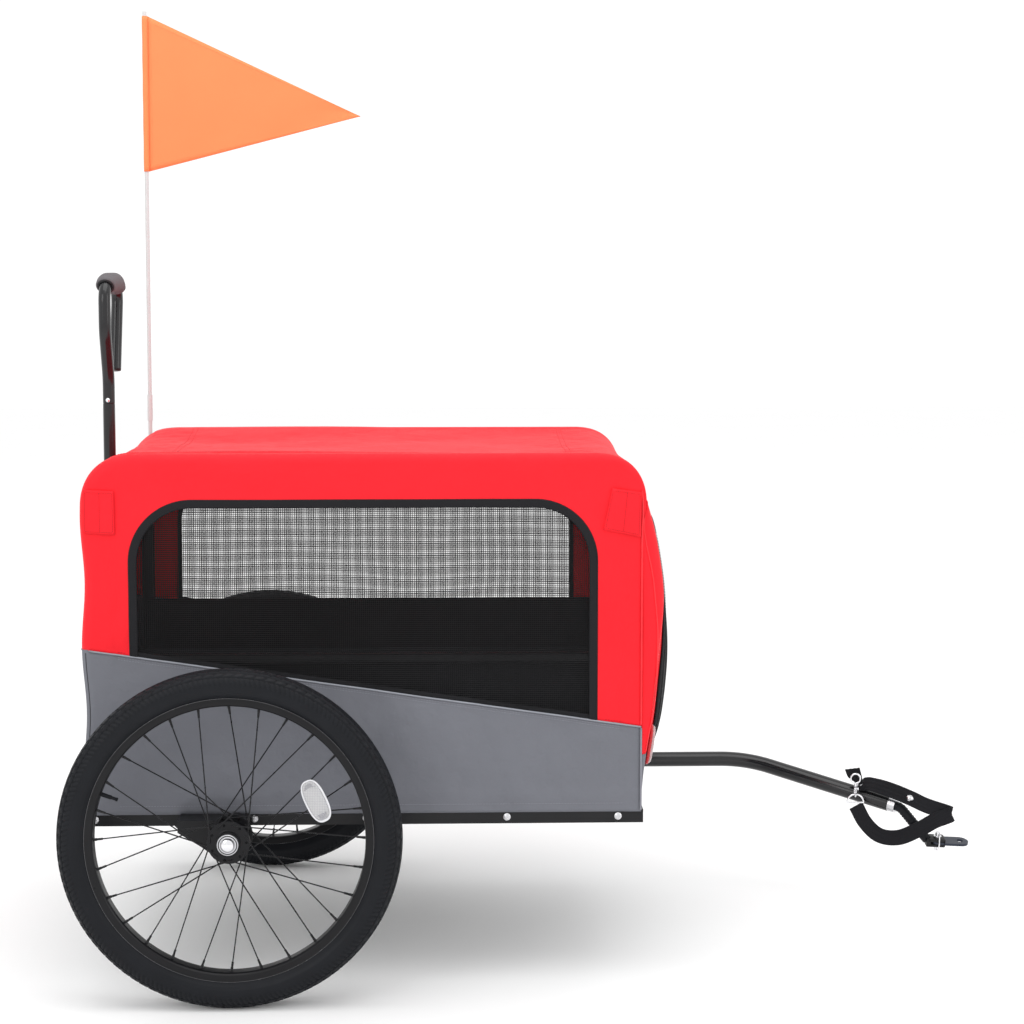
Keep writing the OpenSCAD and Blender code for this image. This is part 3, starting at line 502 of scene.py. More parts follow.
def u_shape(x0, x1, top, r, power=(2.0, 2.0), centre=None, edges=None, counts=(48, 26, 90, 26, 48)):
    """An upside-down U: points, outward directions and how far along each of its five stretches a point is."""
    left = x0 + r if centre is None else centre[0]
    right = x1 - r if centre is None else centre[1]
    low = top - r
    points, normals, place = [], [], []
    squash = lambda a, p: (np.sign(math.cos(a)) * abs(math.cos(a)) ** (2 / p), abs(math.sin(a)) ** (2 / p))
    z_left, z_right = edges or (float(seam_z(x0)), float(seam_z(x1)))
    for k in np.linspace(0, 1, counts[0], endpoint=False):
        points.append((x0, z_left + (low - z_left) * k)); normals.append((-1, 0)); place.append(0 + k)
    for k in np.linspace(0, 1, counts[1], endpoint=False):
        a = math.pi - k * math.pi / 2
        c, s = squash(a, power[0])
        points.append((left + (left - x0) * c, low + r * s)); normals.append((math.cos(a), math.sin(a))); place.append(1 + k)
    for k in np.linspace(0, 1, counts[2], endpoint=False):
        points.append((left + (right - left) * k, top)); normals.append((0, 1)); place.append(2 + k)
    for k in np.linspace(0, 1, counts[3], endpoint=False):
        a = math.pi / 2 - k * math.pi / 2
        c, s = squash(a, power[1])
        points.append((right + (x1 - right) * c, low + r * s)); normals.append((math.cos(a), math.sin(a))); place.append(3 + k)
    for k in np.linspace(0, 1, counts[4]):
        points.append((x1, low + (z_right - low) * k)); normals.append((1, 0)); place.append(4 + k)
    return np.array(points), np.array(normals), np.array(place)


def cover_outline():
    p, n, u = u_shape(REAR_X, FRONT_X, 800, 80, (2.25, 2.4))
    leg = u < 1
    p[leg, 0] = rear_edge(p[leg, 1])
    leg = u >= 4
    p[leg, 0] = front_edge(p[leg, 1])
    p[-1, 1] = seam_z(SEAM_X)
    bend = (u >= 1) & (u < 2)
    p[bend, 0] += (rear_edge(720) - REAR_X) * (2 - u[bend])
    return p, n, u


def window_outline(grow=0.0):
    p, n, u = u_shape(-151, 534, 727, 88)
    p = p + n * grow
    p[0, 1], p[-1, 1] = seam_z(p[0, 0]), seam_z(p[-1, 0])
    return p, n, u


OUTLINE, OUT_DIR, OUT_U = cover_outline()
ROLL_SHARE = 1 - smooth(OUT_U, 2.9, 4.0) * 0.93


def side_face(s, x, z):
    """Y of the cover's side wall: taut over the hoop, a little slack between."""
    x, z = np.broadcast_arrays(np.asarray(x, float), np.asarray(z, float))
    p = np.stack([x, z, np.full_like(x, 40.0 * s)], -1)
    slack = smooth(z, 268, 300) * (1 - smooth(z, 770, 795)) * smooth(x, -215, -190) * (1 - smooth(x, 560, 600))
    low = 1 - smooth(z, seam_z(x) - 30, seam_z(x) + 10)
    fold = wobble(p, 150, 11, (1, 2.2, 1)) * 1.5 + wobble(p, 60, 12, (0.8, 2.6, 1)) * 0.5
    droop = wobble(p, 210, 13, (1.4, 0.8, 1)) * 1.2
    crease = 1.1 * np.exp(-((z - 286 - 4 * np.sin(x / 90)) / 9) ** 2)
    drape = (wobble(p, 95, 14, (1.2, 2.4, 1)) * 1.6 + wobble(p, 46, 15, (0.7, 1.9, 1)) * 0.7) * low
    pull = wobble(p, 70, 16, (0.8, 1.6, 1)) * 0.9 * (1 - low) * (np.exp(-((x + 190) / 60) ** 2) + np.exp(-((x - 570) / 50) ** 2))
    move = slack * (0.6 + fold * (0.5 + 0.9 * low) + droop + drape + pull) + crease * low
    hoop = (smooth(x, -235, -215) * (1 - smooth(x, -186, -170)) + smooth(x, 574, 584)) * (z < 780)
    return s * (SIDE_Y + move + hoop * (0.9 - np.minimum(move, 0)))


def side_cover(s, body="chassis"):
    side = "left" if s > 0 else "right"
    inner, _, _ = window_outline()
    w = ROLL_SHARE * ROLL
    inset = OUTLINE - OUT_DIR * w[:, None]
    flat = np.linspace(0, 1, 22)
    rows = []
    for f in flat:
        q = inner + (inset - inner) * f
        q[0, 1], q[-1, 1] = seam_z(q[0, 0]), seam_z(q[-1, 0])
        rows.append(np.stack([q[:, 0], side_face(s, q[:, 0], q[:, 1]), q[:, 1]], -1))
    for f in np.linspace(0, 1, 8)[1:]:
        a = f * math.pi / 2
        q = inset + OUT_DIR * (w * math.sin(a))[:, None]
        rows.append(np.stack([q[:, 0], s * (SIDE_Y - w * (1 - math.cos(a))), q[:, 1]], -1))
    p = np.stack(rows, 1)
    taut = np.abs(rows[-1][:, 1])
    shell("cover_side_" + side, p, 1.3, (0, s, 0), mat["red"], body, ["side_panel_" + side])
    # grey skirt below the slanting seam, with the same rear roll
    x = np.concatenate([np.linspace(0, 1, 8)[:-1], 1 + np.linspace(0, 1, 110)])
    t = np.linspace(0, 1, 34)
    p = np.zeros((len(x), len(t), 3))
    for i, k in enumerate(x):
        z = 259 + (float(seam_z(REAR_X if k < 1 else REAR_X + ROLL + (k - 1) * (SEAM_X - REAR_X - ROLL))) - 259) * t
        back = rear_edge(z)
        if k < 1:
            a = (1 - k) * math.pi / 2
            p[i] = np.stack([back + ROLL - ROLL * math.sin(a), s * (SIDE_Y - ROLL * (1 - math.cos(a))) + 0 * z, z], -1)
        else:
            xx = back + ROLL + (k - 1) * (SEAM_X - back - ROLL)
            p[i] = np.stack([xx, side_face(s, xx, z), z], -1)
    shell("skirt_" + side, p, 1.3, (0, s, 0), mat["grey"], body, ["side_skirt_" + side])


def seam_trims(s, body="chassis"):
    side = "left" if s > 0 else "right"
    x = np.linspace(REAR_X + 10, SEAM_X, 120)
    line = np.stack([x, side_face(s, x, seam_z(x)) + s * 0.5, seam_z(x)], -1)
    tube("seam_piping_" + side, line, 1.3, mat["piping_grey"], body, sides=8)
    z = np.linspace(262, 744, 90)
    xx = np.where(z > 720, 532 + 80 * (1 - ((z - 720) / 80).clip(0, 1) ** 2.4) ** (1 / 2.4) - 6, front_edge(z))
    line = np.stack([np.minimum(xx, SEAM_X + 1), side_face(s, xx, z) + s * 0.6, z], -1)
    low = z < 390
    tube("front_piping_" + side, line[~low], 1.5, mat["piping_red"], body, sides=8)
    tube("front_piping_low_" + side, line[low], 1.5, mat["grey_thread"], body, sides=8)
    rows = []
    for drop in (4, -4, -7):
        zz = seam_z(x) + drop
        rows.append((np.stack([x, side_face(s, x, zz), zz], -1)[6:-4], (0, s, 0)))
    beside = [(rows[0][0][part], (0, s, 0)) for part in (rows[0][0][:, 0] < -160, rows[0][0][:, 0] > 544)]
    stitches("seam_stitches_" + side, beside, mat["red_thread"], body)
    zz = np.linspace(262, 504, 60)
    line = np.stack([rear_edge(zz) + 7.5, s * (SIDE_Y - 2.1) + 0 * zz, zz], -1)
    tube("skirt_rear_piping_" + side, line, 0.9, mat["black_thread"], body, sides=8)
    hem = np.stack([x, side_face(s, x, 272 + 0 * x), 272 + 0 * x], -1)
    stitches("skirt_stitches_" + side, rows[1:] + [(hem[6:-4], (0, s, 0))], mat["grey_thread"], body)
    p, n, _ = window_outline(4)
    rows = [(np.stack([p[:, 0], side_face(s, p[:, 0], p[:, 1]) + s * 1.1, p[:, 1]], -1), (0, s, 0))]
    p, n, _ = window_outline(-5)
    rows.append((np.stack([p[:, 0], side_face(s, p[:, 0], p[:, 1]) + s * 1.1, p[:, 1]], -1), (0, s, 0)))
    stitches("window_stitches_" + side, rows, mat["black_thread"], body, r=0.3)


def ribbon_grid(line, across, width, rise, steps=5):
    """A tape along a line: its points, width mm wide, its edges rise mm lower than its middle."""
    line, across = np.asarray(line, float), np.asarray(across, float)
    out = np.cross(np.gradient(line, axis=0), across)
    out /= np.linalg.norm(out, axis=1, keepdims=True)
    f = np.linspace(-1, 1, steps)
    return line[:, None] + across[:, None] * (f * width / 2)[None, :, None] - out[:, None] * (rise * f ** 4)[None, :, None], out


def window_binding(s, body="chassis"):
    side = "left" if s > 0 else "right"
    p, n, _ = window_outline(-1)
    q = np.stack([p[:, 0], side_face(s, p[:, 0], p[:, 1]) + s * 1.4, p[:, 1]], -1)
    across = np.stack([n[:, 0], 0 * n[:, 0], n[:, 1]], -1)
    g, _ = ribbon_grid(q, across, 13, 0)
    g[..., 1] += -s * 0.7 * (np.linspace(-1, 1, g.shape[1]) ** 4)[None]
    shell("window_binding_" + side, g, 1.2, (0, s, 0), mat["tape"], body)
    x = np.linspace(-151, 534, 90)
    for name, drop in (("foot", 3),):
        g, _ = ribbon_grid(np.stack([x, side_face(s, x, seam_z(x)) - s * 0.4, seam_z(x) + drop], -1), np.tile([0, 0, 1.0], (90, 1)), 10, 0)
        shell("window_" + name + "_binding_" + side, g, 0.8, (0, s, 0), mat["tape"], body)


def net(name, lines, radius, material, body, stands_for=()):
    """Many thin square threads, each along its own line of points in mm."""
    parts = [tube_data(at(line), radius / 1000, 4) for line in lines]
    points, faces = join(parts)
    return piece(name, points, faces, material, body, stands_for, smooth_faces=False)


def window_net(s, body="chassis"):
    side = "left" if s > 0 else "right"
    pitch = 3.0
    left, right, top, r = -154, 537, 730, 91
    lines = []

    def place(x, z, lift):
        p = np.stack([x, z, np.full_like(x, 10.0)], -1)
        sway = wobble(p, 190, 21 + s, (1, 0.7, 1)) * 1.3
        slide_x = wobble(p, 160, 31 + s) * 0.35
        slide_z = wobble(p, 190, 41 + s, (1.4, 1, 1)) * 0.5
        return np.stack([x + slide_x, side_face(s, x, z) - s * (0.9 + lift) + s * 0.4 * sway, z + slide_z], -1)

    for x in np.arange(left + 1, right, pitch):
        edge = max(left + r - x, x - (right - r), 0)
        high = top - r + math.sqrt(max(r * r - edge * edge, 0)) if edge > 0 else top
        low = float(seam_z(x)) - 3
        z = np.linspace(low, high, 26)
        lines.append(place(np.full(26, x), z, 0.25))
    for z in np.arange(float(seam_z(right)) - 2, top, pitch):
        lift = max(z - (top - r), 0)
        pull = r - math.sqrt(max(r * r - lift * lift, 0))
        a, b = left + pull, right - pull
        if z < seam_z(a):
            a = (z - 507) / SEAM_SLOPE - 213 - 3
        if b - a > 8:
            x = np.linspace(a, b, 44)
            lines.append(place(x, np.full(44, z), -0.25))
    o = net("window_net_" + side, lines, 0.43, mat["net"], body, ["window_" + side])
    return o, lines


def roof_point(p, n, w, t):
    """The roof between its two edges: it sags between the hoops."""
    y = t[None] * (SIDE_Y - w[:, None])
    along = np.arange(len(p)) / (len(p) - 1)
    depth = 4 + 13 * smooth(along, 0.04, 0.3) * (1 - smooth(along, 0.75, 0.97))
    sag = depth[:, None] * (1 - np.abs(t[None]) ** 3.2)
    lift = 5.0 * np.exp(-((p[:, 0] - 40) / 230) ** 2)[:, None] * smooth(np.abs(t[None]), 0.5, 0.88) * (1 - smooth(np.abs(t[None]), 0.95, 1.0)) * (n[:, 1:2] > 0.9)
    q = np.stack([np.broadcast_to(p[:, :1], y.shape), y, np.broadcast_to(p[:, 1:], y.shape)], -1)
    quiet = (1 - np.abs(t[None]) ** 6)
    fold = wobble(q, 170, 51, (1.6, 0.6, 1)) * 1.5 + wobble(q, 55, 52, (1, 1, 1)) * 0.35
    corner = np.exp(-((q[..., 0] + 150) / 60) ** 2) + 0.7 * np.exp(-((q[..., 0] - 520) / 70) ** 2)
    fold = fold + corner * wobble(q, 42, 53, (1, 0.5, 1)) * 1.0
    move = -(sag - fold * quiet) + lift
    q[..., 0] += n[:, :1] * move
    q[..., 2] += n[:, 1:] * move
    return q


def roof(body="chassis"):
    keep = (OUT_U >= 0.93) & (OUT_U <= 4.02)
    p, n, w = OUTLINE[keep], OUT_DIR[keep], (ROLL_SHARE * ROLL)[keep]
    t = np.linspace(-1, 1, 71)
    q = roof_point(p, n, w, t)
    shell("roof", q, 1.3, (0, 0, 1), mat["red"], body, ["roof_panel"])
    rows = []
    for s in (-1, 1):
        edge = roof_point(p, n, w, np.array([s * 0.965, s * 0.97]))[:, 0]
        rows.append((edge[6:-8], np.stack([n[:, 0], 0 * n[:, 0], n[:, 1]], -1)[6:-8]))
    for k in (np.argmin(np.abs(p[:, 0] + 118) + 9 * (p[:, 1] < 780)), np.argmin(np.abs(p[:, 0] - 500) + 9 * (p[:, 1] < 780))):
        for j in (k, k + 1):
            rows.append((q[j, 2:-2] + [0, 0, 0.1], (0, 0, 1)))
    stitches("roof_stitches", rows, mat["red_thread"], body)


def rear_wall(body="chassis"):
    y = np.sort(np.concatenate([np.linspace(-1, 1, 61) * (SIDE_Y - ROLL), [-14.5, 14.5]]))

    def surface(z):
        yy, zz = np.meshgrid(y, z, indexing="ij")
        post = 1 - smooth(np.abs(yy), 18, 120)
        q = np.stack([yy, zz, np.full_like(yy, 5.0)], -1)
        edge = 1 - smooth(np.abs(yy), 205, 238)
        x = rear_edge(zz) * (1 - post) + post * -213.2 + wobble(q, 120, 61, (1, 1.6, 1)) * 1.4 * edge * (1 - post)
        return np.stack([x, yy, zz], -1)

    z = np.sort(np.concatenate([np.linspace(508, 722, 34), [685.5, 714.5]]))
    p = surface(z)
    mid_y, mid_z = (y[:-1] + y[1:]) / 2, (z[:-1] + z[1:]) / 2
    keep = ~((np.abs(mid_y)[:, None] < 14.5) & (np.abs(mid_z - 700)[None] < 14.5))
    shell("rear_wall_red", p, 1.3, (-1, 0, 0), mat["red"], body, ["rear_panel"], keep)
    shell("rear_wall_grey", surface(np.linspace(268, 507, 30)), 1.3, (-1, 0, 0), mat["grey"], body, ["rear_panel"])
    yy = np.linspace(-236, 236, 80)
    line = surface(np.array([507.0, 507.5]))
    pick = np.stack([np.interp(yy, y, line[:, 0, 0]) - 0.6, yy, 0 * yy + 507], -1)
    tube("rear_piping", pick, 1.3, mat["piping_grey"], body, sides=8)
    rows = []
    for zz in (512, 502, 280):
        line = surface(np.array([zz, zz + 0.5]))[:, 0]
        rows.append((line[2:-2], (-1, 0, 0)))
    stitches("rear_stitches", rows, mat["black_thread"], body)
    frame_line = np.array([[0, -17, 682.5], [0, 17, 682.5], [0, 17, 717.5], [0, -17, 717.5]])
    path = []
    for k in range(4):
        a, b = frame_line[k], frame_line[(k + 1) % 4]
        path += [a + (b - a) * f for f in np.linspace(0, 1, 8, endpoint=False)]
    path = np.array(path) + [-213.6, 0, 0]
    points, faces = tube_data(at(path), 0.0018, 6, closed=True)
    piece("rear_slot_binding", points, faces, mat["tape"], body, threads=points)


# front wall: a cheek on each side, a rounded corner, and the surround of the mesh door
FACE_Z = [250, 262, 302, 328, 384, 410, 455, 505, 562, 598, 634, 671, 707, 722, 735]
FACE_X = [606, 606.5, 608, 612, 620, 622, 626, 634, 639.5, 639.5, 635, 629, 620, 614, 611]
DOOR_Z = [310, 348, 374, 419, 466, 505, 562, 598, 634, 671, 704, 716]
DOOR_X = [616, 633, 642, 649, 652, 651, 646.5, 642, 636, 629, 621, 617.5]
CREASE_Z = [250, 262, 328, 384, 410, 455, 534, 617, 670, 700, 722]
CREASE_X = [605.5, 606, 609, 618, 624, 628, 630, 622, 610, 606, 613]


def soft_curve(z, zs, xs):
    """A smooth line through given points."""
    z = np.asarray(z, float)
    return sum(np.interp(z + d, zs, xs) for d in (-16, -8, 0, 8, 16)) / 5


def front_x(y, z):
    face = soft_curve(z, FACE_Z, FACE_X)
    door = np.where((z > 312) & (z < 712), soft_curve(z, DOOR_Z, DOOR_X), face)
    share = (1 - smooth(np.abs(y), 150, 232)) * smooth(z, 312, 345) * (1 - smooth(z, 700, 716))
    return face + (np.maximum(door, face) - face) * share


def front_wall(body="chassis"):
    def columns(z):
        crease, face = soft_curve(z, CREASE_Z, CREASE_X), soft_curve(z, FACE_Z, FACE_X)
        seam = front_edge(z)
        crease = np.clip(crease, seam + 0.4, face - 1)
        rows = []
        for k in np.linspace(0, 1, 7):
            q = np.stack([seam + (crease - seam) * k, -(SIDE_Y - 2.2 * k + 1.2 * math.sin(math.pi * k)) + 0 * z, z], -1)
            rows.append(q)
        for k in np.linspace(0, 1, 7)[1:]:
            a = k * math.pi / 2
            rows.append(np.stack([crease + (face - crease) * math.sin(a), -(250.1 - 14 * (1 - math.cos(a))) + 0 * z, z], -1))
        return rows

    def sheet_at(z, mids):
        left = columns(z)
        mid = [np.stack([front_x(y + 0 * z, z), y + 0 * z, z], -1) for y in mids]
        rest = [r * [1, -1, 1] for r in left[::-1]]
        return np.stack(left + mid + rest, 0)

    mids = np.concatenate([np.linspace(-226, -184, 6), np.linspace(-170, 170, 21), np.linspace(184, 226, 6)])
    z = np.concatenate([np.linspace(346, 690, 44), np.linspace(697, 728, 6)])
    q = sheet_at(z, mids)
    q[..., 0] += wobble(q, 90, 71, (1, 1, 1.8)) * 0.7
    mid_y = (q[:-1, 0, 1] + q[1:, 0, 1]) / 2
    mid_z = (z[:-1] + z[1:]) / 2
    keep = ~((np.abs(mid_y)[:, None] < 184) & (mid_z[None] < 690))
    shell("front_surround_red", q, 1.3, (1, 0, 0), mat["red"], body, ["front_surround"], keep)
    z = np.concatenate([np.linspace(259, 332, 12), [339, 346]])
    q = sheet_at(z, mids)
    keep = ~((np.abs(mid_y)[:, None] < 184) & (((z[:-1] + z[1:]) / 2)[None] > 332))
    shell("front_surround_grey", q, 1.3, (1, 0, 0), mat["grey"], body, ["front_surround"], keep)
    for s in (-1, 1):
        z = np.linspace(350, 704, 80)
        c = np.clip(soft_curve(z, CREASE_Z, CREASE_X), front_edge(z) + 0.4, None)
        tube("cheek_piping_" + ("left" if s > 0 else "right"), np.stack([c, s * 250.6 + 0 * z, z], -1), 1.1,
             mat["piping_red"], body, sides=8)
    rows = []
    for s in (-1, 1):
        zz = np.linspace(330, 695, 90)
        rows.append((np.stack([front_x(s * 205 + 0 * zz, zz) + 0.1, s * 205 + 0 * zz, zz], -1), (1, 0, 0)))
    yy = np.linspace(-205, 205, 90)
    rows.append((np.stack([front_x(yy, 712 + 0 * yy) + 0.1, yy, 712 + 0 * yy], -1), (1, 0, 0)))
    stitches("front_stitches", rows, mat["red_thread"], body)


def door(body="front_door"):
    """Mesh door: net, its binding on four sides and the zip's coil and tapes."""
    lines = []

    def place(y, z, lift):
        x = front_x(y, z) + 2.2 + lift
        p = np.stack([x, y, z], -1)
        return np.stack([x + wobble(p, 110, 81) * 1.0, y + wobble(p, 90, 82) * 0.8, z + wobble(p, 100, 83) * 0.9], -1)

    for y in np.arange(-183, 183.1, 3.0):
        z = np.linspace(334, 692, 34)
        lines.append(place(y + 0 * z, z, 0.25))
    for z in np.arange(334, 692, 3.0):
        y = np.linspace(-183, 183, 36)
        lines.append(place(y, z + 0 * y, -0.25))
    o = net("door_net", lines, 0.62, mat["net"], body, ["front_door"])
    corner = 30
    path, side = [], []
    y0, z0, z1 = 186, 331, 694
    for cy, cz, a0 in ((y0 - corner, z1 - corner, 0), (-y0 + corner, z1 - corner, 90), (-y0 + corner, z0 + corner, 180), (y0 - corner, z0 + corner, 270)):
        for k in np.linspace(0, 90, 10):
            a = math.radians(a0 + k)
            path.append((cy + corner * math.cos(a), cz + corner * math.sin(a)))
    path = np.array(path + path[:1])
    step = np.concatenate([[0], np.cumsum(np.linalg.norm(np.diff(path, axis=0), axis=1))])
    d = np.linspace(0, step[-1], 260)[:-1]
    y, z = np.interp(d, step, path[:, 0]), np.interp(d, step, path[:, 1])
    line = np.stack([front_x(y, z) + 3.2, y, z], -1)
    closed = np.concatenate([line, line[:1]])
    t = np.gradient(closed, axis=0)
    t[0] = t[-1] = closed[1] - closed[-2]
    across = np.cross(t, np.tile([1.0, 0, 0], (len(t), 1)))
    across /= np.linalg.norm(across, axis=1, keepdims=True)
    g, _ = ribbon_grid(closed, across, 22, 0)
    g[..., 0] = front_x(g[..., 1], g[..., 2]) + 3.4 - 0.6 * (np.linspace(-1, 1, 5) ** 4)[None]
    shell("door_binding", g, 1.6, (1, 0, 0), mat["tape"], body)
    coil = []
    total = np.concatenate([[0], np.cumsum(np.linalg.norm(np.diff(closed, axis=0), axis=1))])
    for k in np.arange(0, total[-1], 2.4):
        c = np.array([np.interp(k, total, closed[:, j]) for j in range(3)])
        a = np.array([np.interp(k, total, across[:, j]) for j in range(3)])
        c[0] += 1.0
        coil.append(tube_data(at(np.stack([c - a * 2.6 - [0.5, 0, 0], c - a * 1.2 + [0.5, 0, 0], c + a * 1.2 + [0.5, 0, 0], c + a * 2.6 - [0.5, 0, 0]])), 0.0006, 5))
    points, faces = join(coil)
    piece("zip_coil", points, faces, mat["plastic"], body)
    return o, lines


def tab(name, corners, s, body="chassis"):
    """A square hook-and-loop tab, its corners given in X and Z, lying on the side wall."""
    (a, b, c, d) = [np.array(k, float) for k in corners]
    u, v = np.linspace(0, 1, 20), np.linspace(0, 1, 20)
    uu, vv = np.meshgrid(u, v, indexing="ij")
    q = ((1 - uu) * (1 - vv))[..., None] * a + (uu * (1 - vv))[..., None] * b + (uu * vv)[..., None] * c + ((1 - uu) * vv)[..., None] * d
    puff = 1.1 * np.sin(math.pi * uu) * np.sin(math.pi * vv) + 0.5 * np.sin(uu * 7 + vv * 3)
    y = side_face(s, q[..., 0], q[..., 1]) + s * (2.9 + 1.3 * puff)
    g = np.stack([q[..., 0], y, q[..., 1]], -1)
    shell(name, g, 2.0, (0, s, 0), mat["red"], body, ["corner_tabs"])
    rows = []
    inset = lambda f, h: (g[int(round(f * 19)), int(round(h * 19))])
    for f in (0.06, 0.45, 0.94):
        rows.append((g[int(round(f * 19))][1:-1], (0, s, 0)))
    for h in (0.06, 0.94):
        rows.append((g[:, int(round(h * 19))][1:-1], (0, s, 0)))
    stitches(name + "_stitches", rows, mat["red_thread"], body, pitch=3.4, length=2.3)


for s in (-1, 1):
    side_cover(s)
    seam_trims(s)
    window_binding(s)
nets = {s: window_net(s) for s in (-1, 1)}
roof()
rear_wall()
front_wall()
door_net, door_lines = door()
for s in (-1, 1):
    word = "left" if s > 0 else "right"
    tab("front_tab_" + word, [(603, 675), (547, 686), (560, 748), (604, 742)], s)
    tab("rear_tab_" + word, [(-175, 681), (-221, 683), (-220, 748), (-176, 746)], s)


# ---- wheels: local axes are those of the CAD, +Z outboard ----

def on_hub(s, p):
    p = np.asarray(p, float)
    return np.stack([p[..., 0], s * (TRACK_Y + p[..., 2]), AXLE_Z - s * p[..., 1]], -1)


def ring_data(s, profile, steps=180):
    """Points and faces of a closed profile (outboard distance, radius) turned round the wheel's axle."""
    profile = np.asarray(profile, float)
    turn = np.arange(steps) * 2 * math.pi / steps
    local = np.stack([np.cos(turn)[:, None] * profile[None, :, 1], np.sin(turn)[:, None] * profile[None, :, 1],
                      np.broadcast_to(profile[None, :, 0], (steps, len(profile)))], -1)
    return at(on_hub(s, local)).reshape(-1, 3), grid_quads(steps, len(profile), True, True).tolist()


def wheel_ring(name, s, profile, material, body, stands_for=(), steps=180, bevel=0.5):
    points, faces = ring_data(s, rounded(profile, bevel) if bevel else profile, steps)
    o = piece(name, points, faces, material, body, stands_for)
    outward(o)
    return o


def tread_depth(across, along):
    """How far the tread is cut below its top, in mm: a middle rib, two rows of slanted blocks and a shoulder row."""
    def groove(d, half, soft=0.35):
        return 1 - smooth(np.abs(d), half - soft, half + soft)

    side = np.sign(across)
    a = np.abs(across)
    rib = np.maximum(groove(a - 4.2, 0.9), groove(a - 12.2, 0.9))
    period = 15.7
    first = groove(((along + a * 0.55 + side * 3.9) % period) - period / 2, 1.0) * (a > 4.2) * (a < 12.2)
    second = groove(((along - a * 0.4 + side * 3.9 + 5) % period) - period / 2, 1.1) * (a > 12.2) * (a < 21)
    sipe = groove(((along + side * 3) % (period / 2)) - period / 4, 0.55) * (a < 2.6) * 0.6
    small = groove(((along - a * 0.4 + side * 3.9 + 5) % (period / 2)) - period / 4, 0.45) * (a > 14.5) * (a < 21) * 0.5
    wall = groove(((along + a * 0.5 + side * 2.1) % (period / 2)) - period / 4, 1.0) * (a > 22.2) * (a < 33)
    row = groove(a - 21.4, 0.7)
    edge = smooth(a, 32.5, 34.5)
    cut = np.maximum.reduce([rib, first, second, sipe, small, wall, row])
    return 2.2 * cut * (1 - edge) * np.where(a > 22, 0.75, 1) + 0.9 * edge


def tyre(s):
    side = "left" if s > 0 else "right"
    steps, middle, r = 900, 227.0, 23.0
    phi = np.linspace(-127, 127, 84) * math.pi / 180
    turn = np.arange(steps) * 2 * math.pi / steps
    aa, tt = np.meshgrid(phi * r, turn * 250, indexing="xy")
    depth = tread_depth(aa, tt)
    ribs = 0.22 * (np.abs(aa) > 36) * (np.abs(aa) < 42) * (0.5 + 0.5 * np.cos(aa * 2.6))
    bulge = 0.35 * np.exp(-((np.abs(aa) - 44.5) / 1.6) ** 2)
    radius = r - depth + ribs + bulge
    outer = np.stack([radius * np.sin(phi)[None], middle + radius * np.cos(phi)[None]], -1)
    beads = [(12.2, 209.6), (11.4, 207.4), (8.2, 207.2), (7.6, 210)]
    inner = [(18.6 * math.sin(a), middle + 18.6 * math.cos(a)) for a in np.linspace(120, -120, 16) * math.pi / 180]
    tail = [(-7.6, 210), (-8.2, 207.2), (-11.4, 207.4), (-12.2, 209.6)]
    rest = np.broadcast_to(np.array(beads + inner + tail)[None], (steps, len(beads) + 16 + len(tail), 2))
    profile = np.concatenate([outer, rest], 1)
    local = np.stack([np.cos(turn)[:, None] * profile[..., 1], np.sin(turn)[:, None] * profile[..., 1], profile[..., 0]], -1)
    o = piece("tyre_tread_" + side, at(on_hub(s, local)).reshape(-1, 3), grid_quads(steps, profile.shape[1], True, True),
              mat["rubber"], "wheel_" + side, ["tyre_" + side])
    outward(o)
    a = math.radians(180 + 20 * s)
    d = np.array([math.cos(a), math.sin(a), 0])
    path = [on_hub(s, d * k) for k in (171, 173.8, 174, 181, 181.2, 196.5)]
    points, faces = tube_data(at(path), np.array([2.6, 3.0, 2.4, 2.4, 3.1, 3.1]) / 1000, 20)
    piece("valve_" + side, points, faces, mat["rubber"], "wheel_" + side)


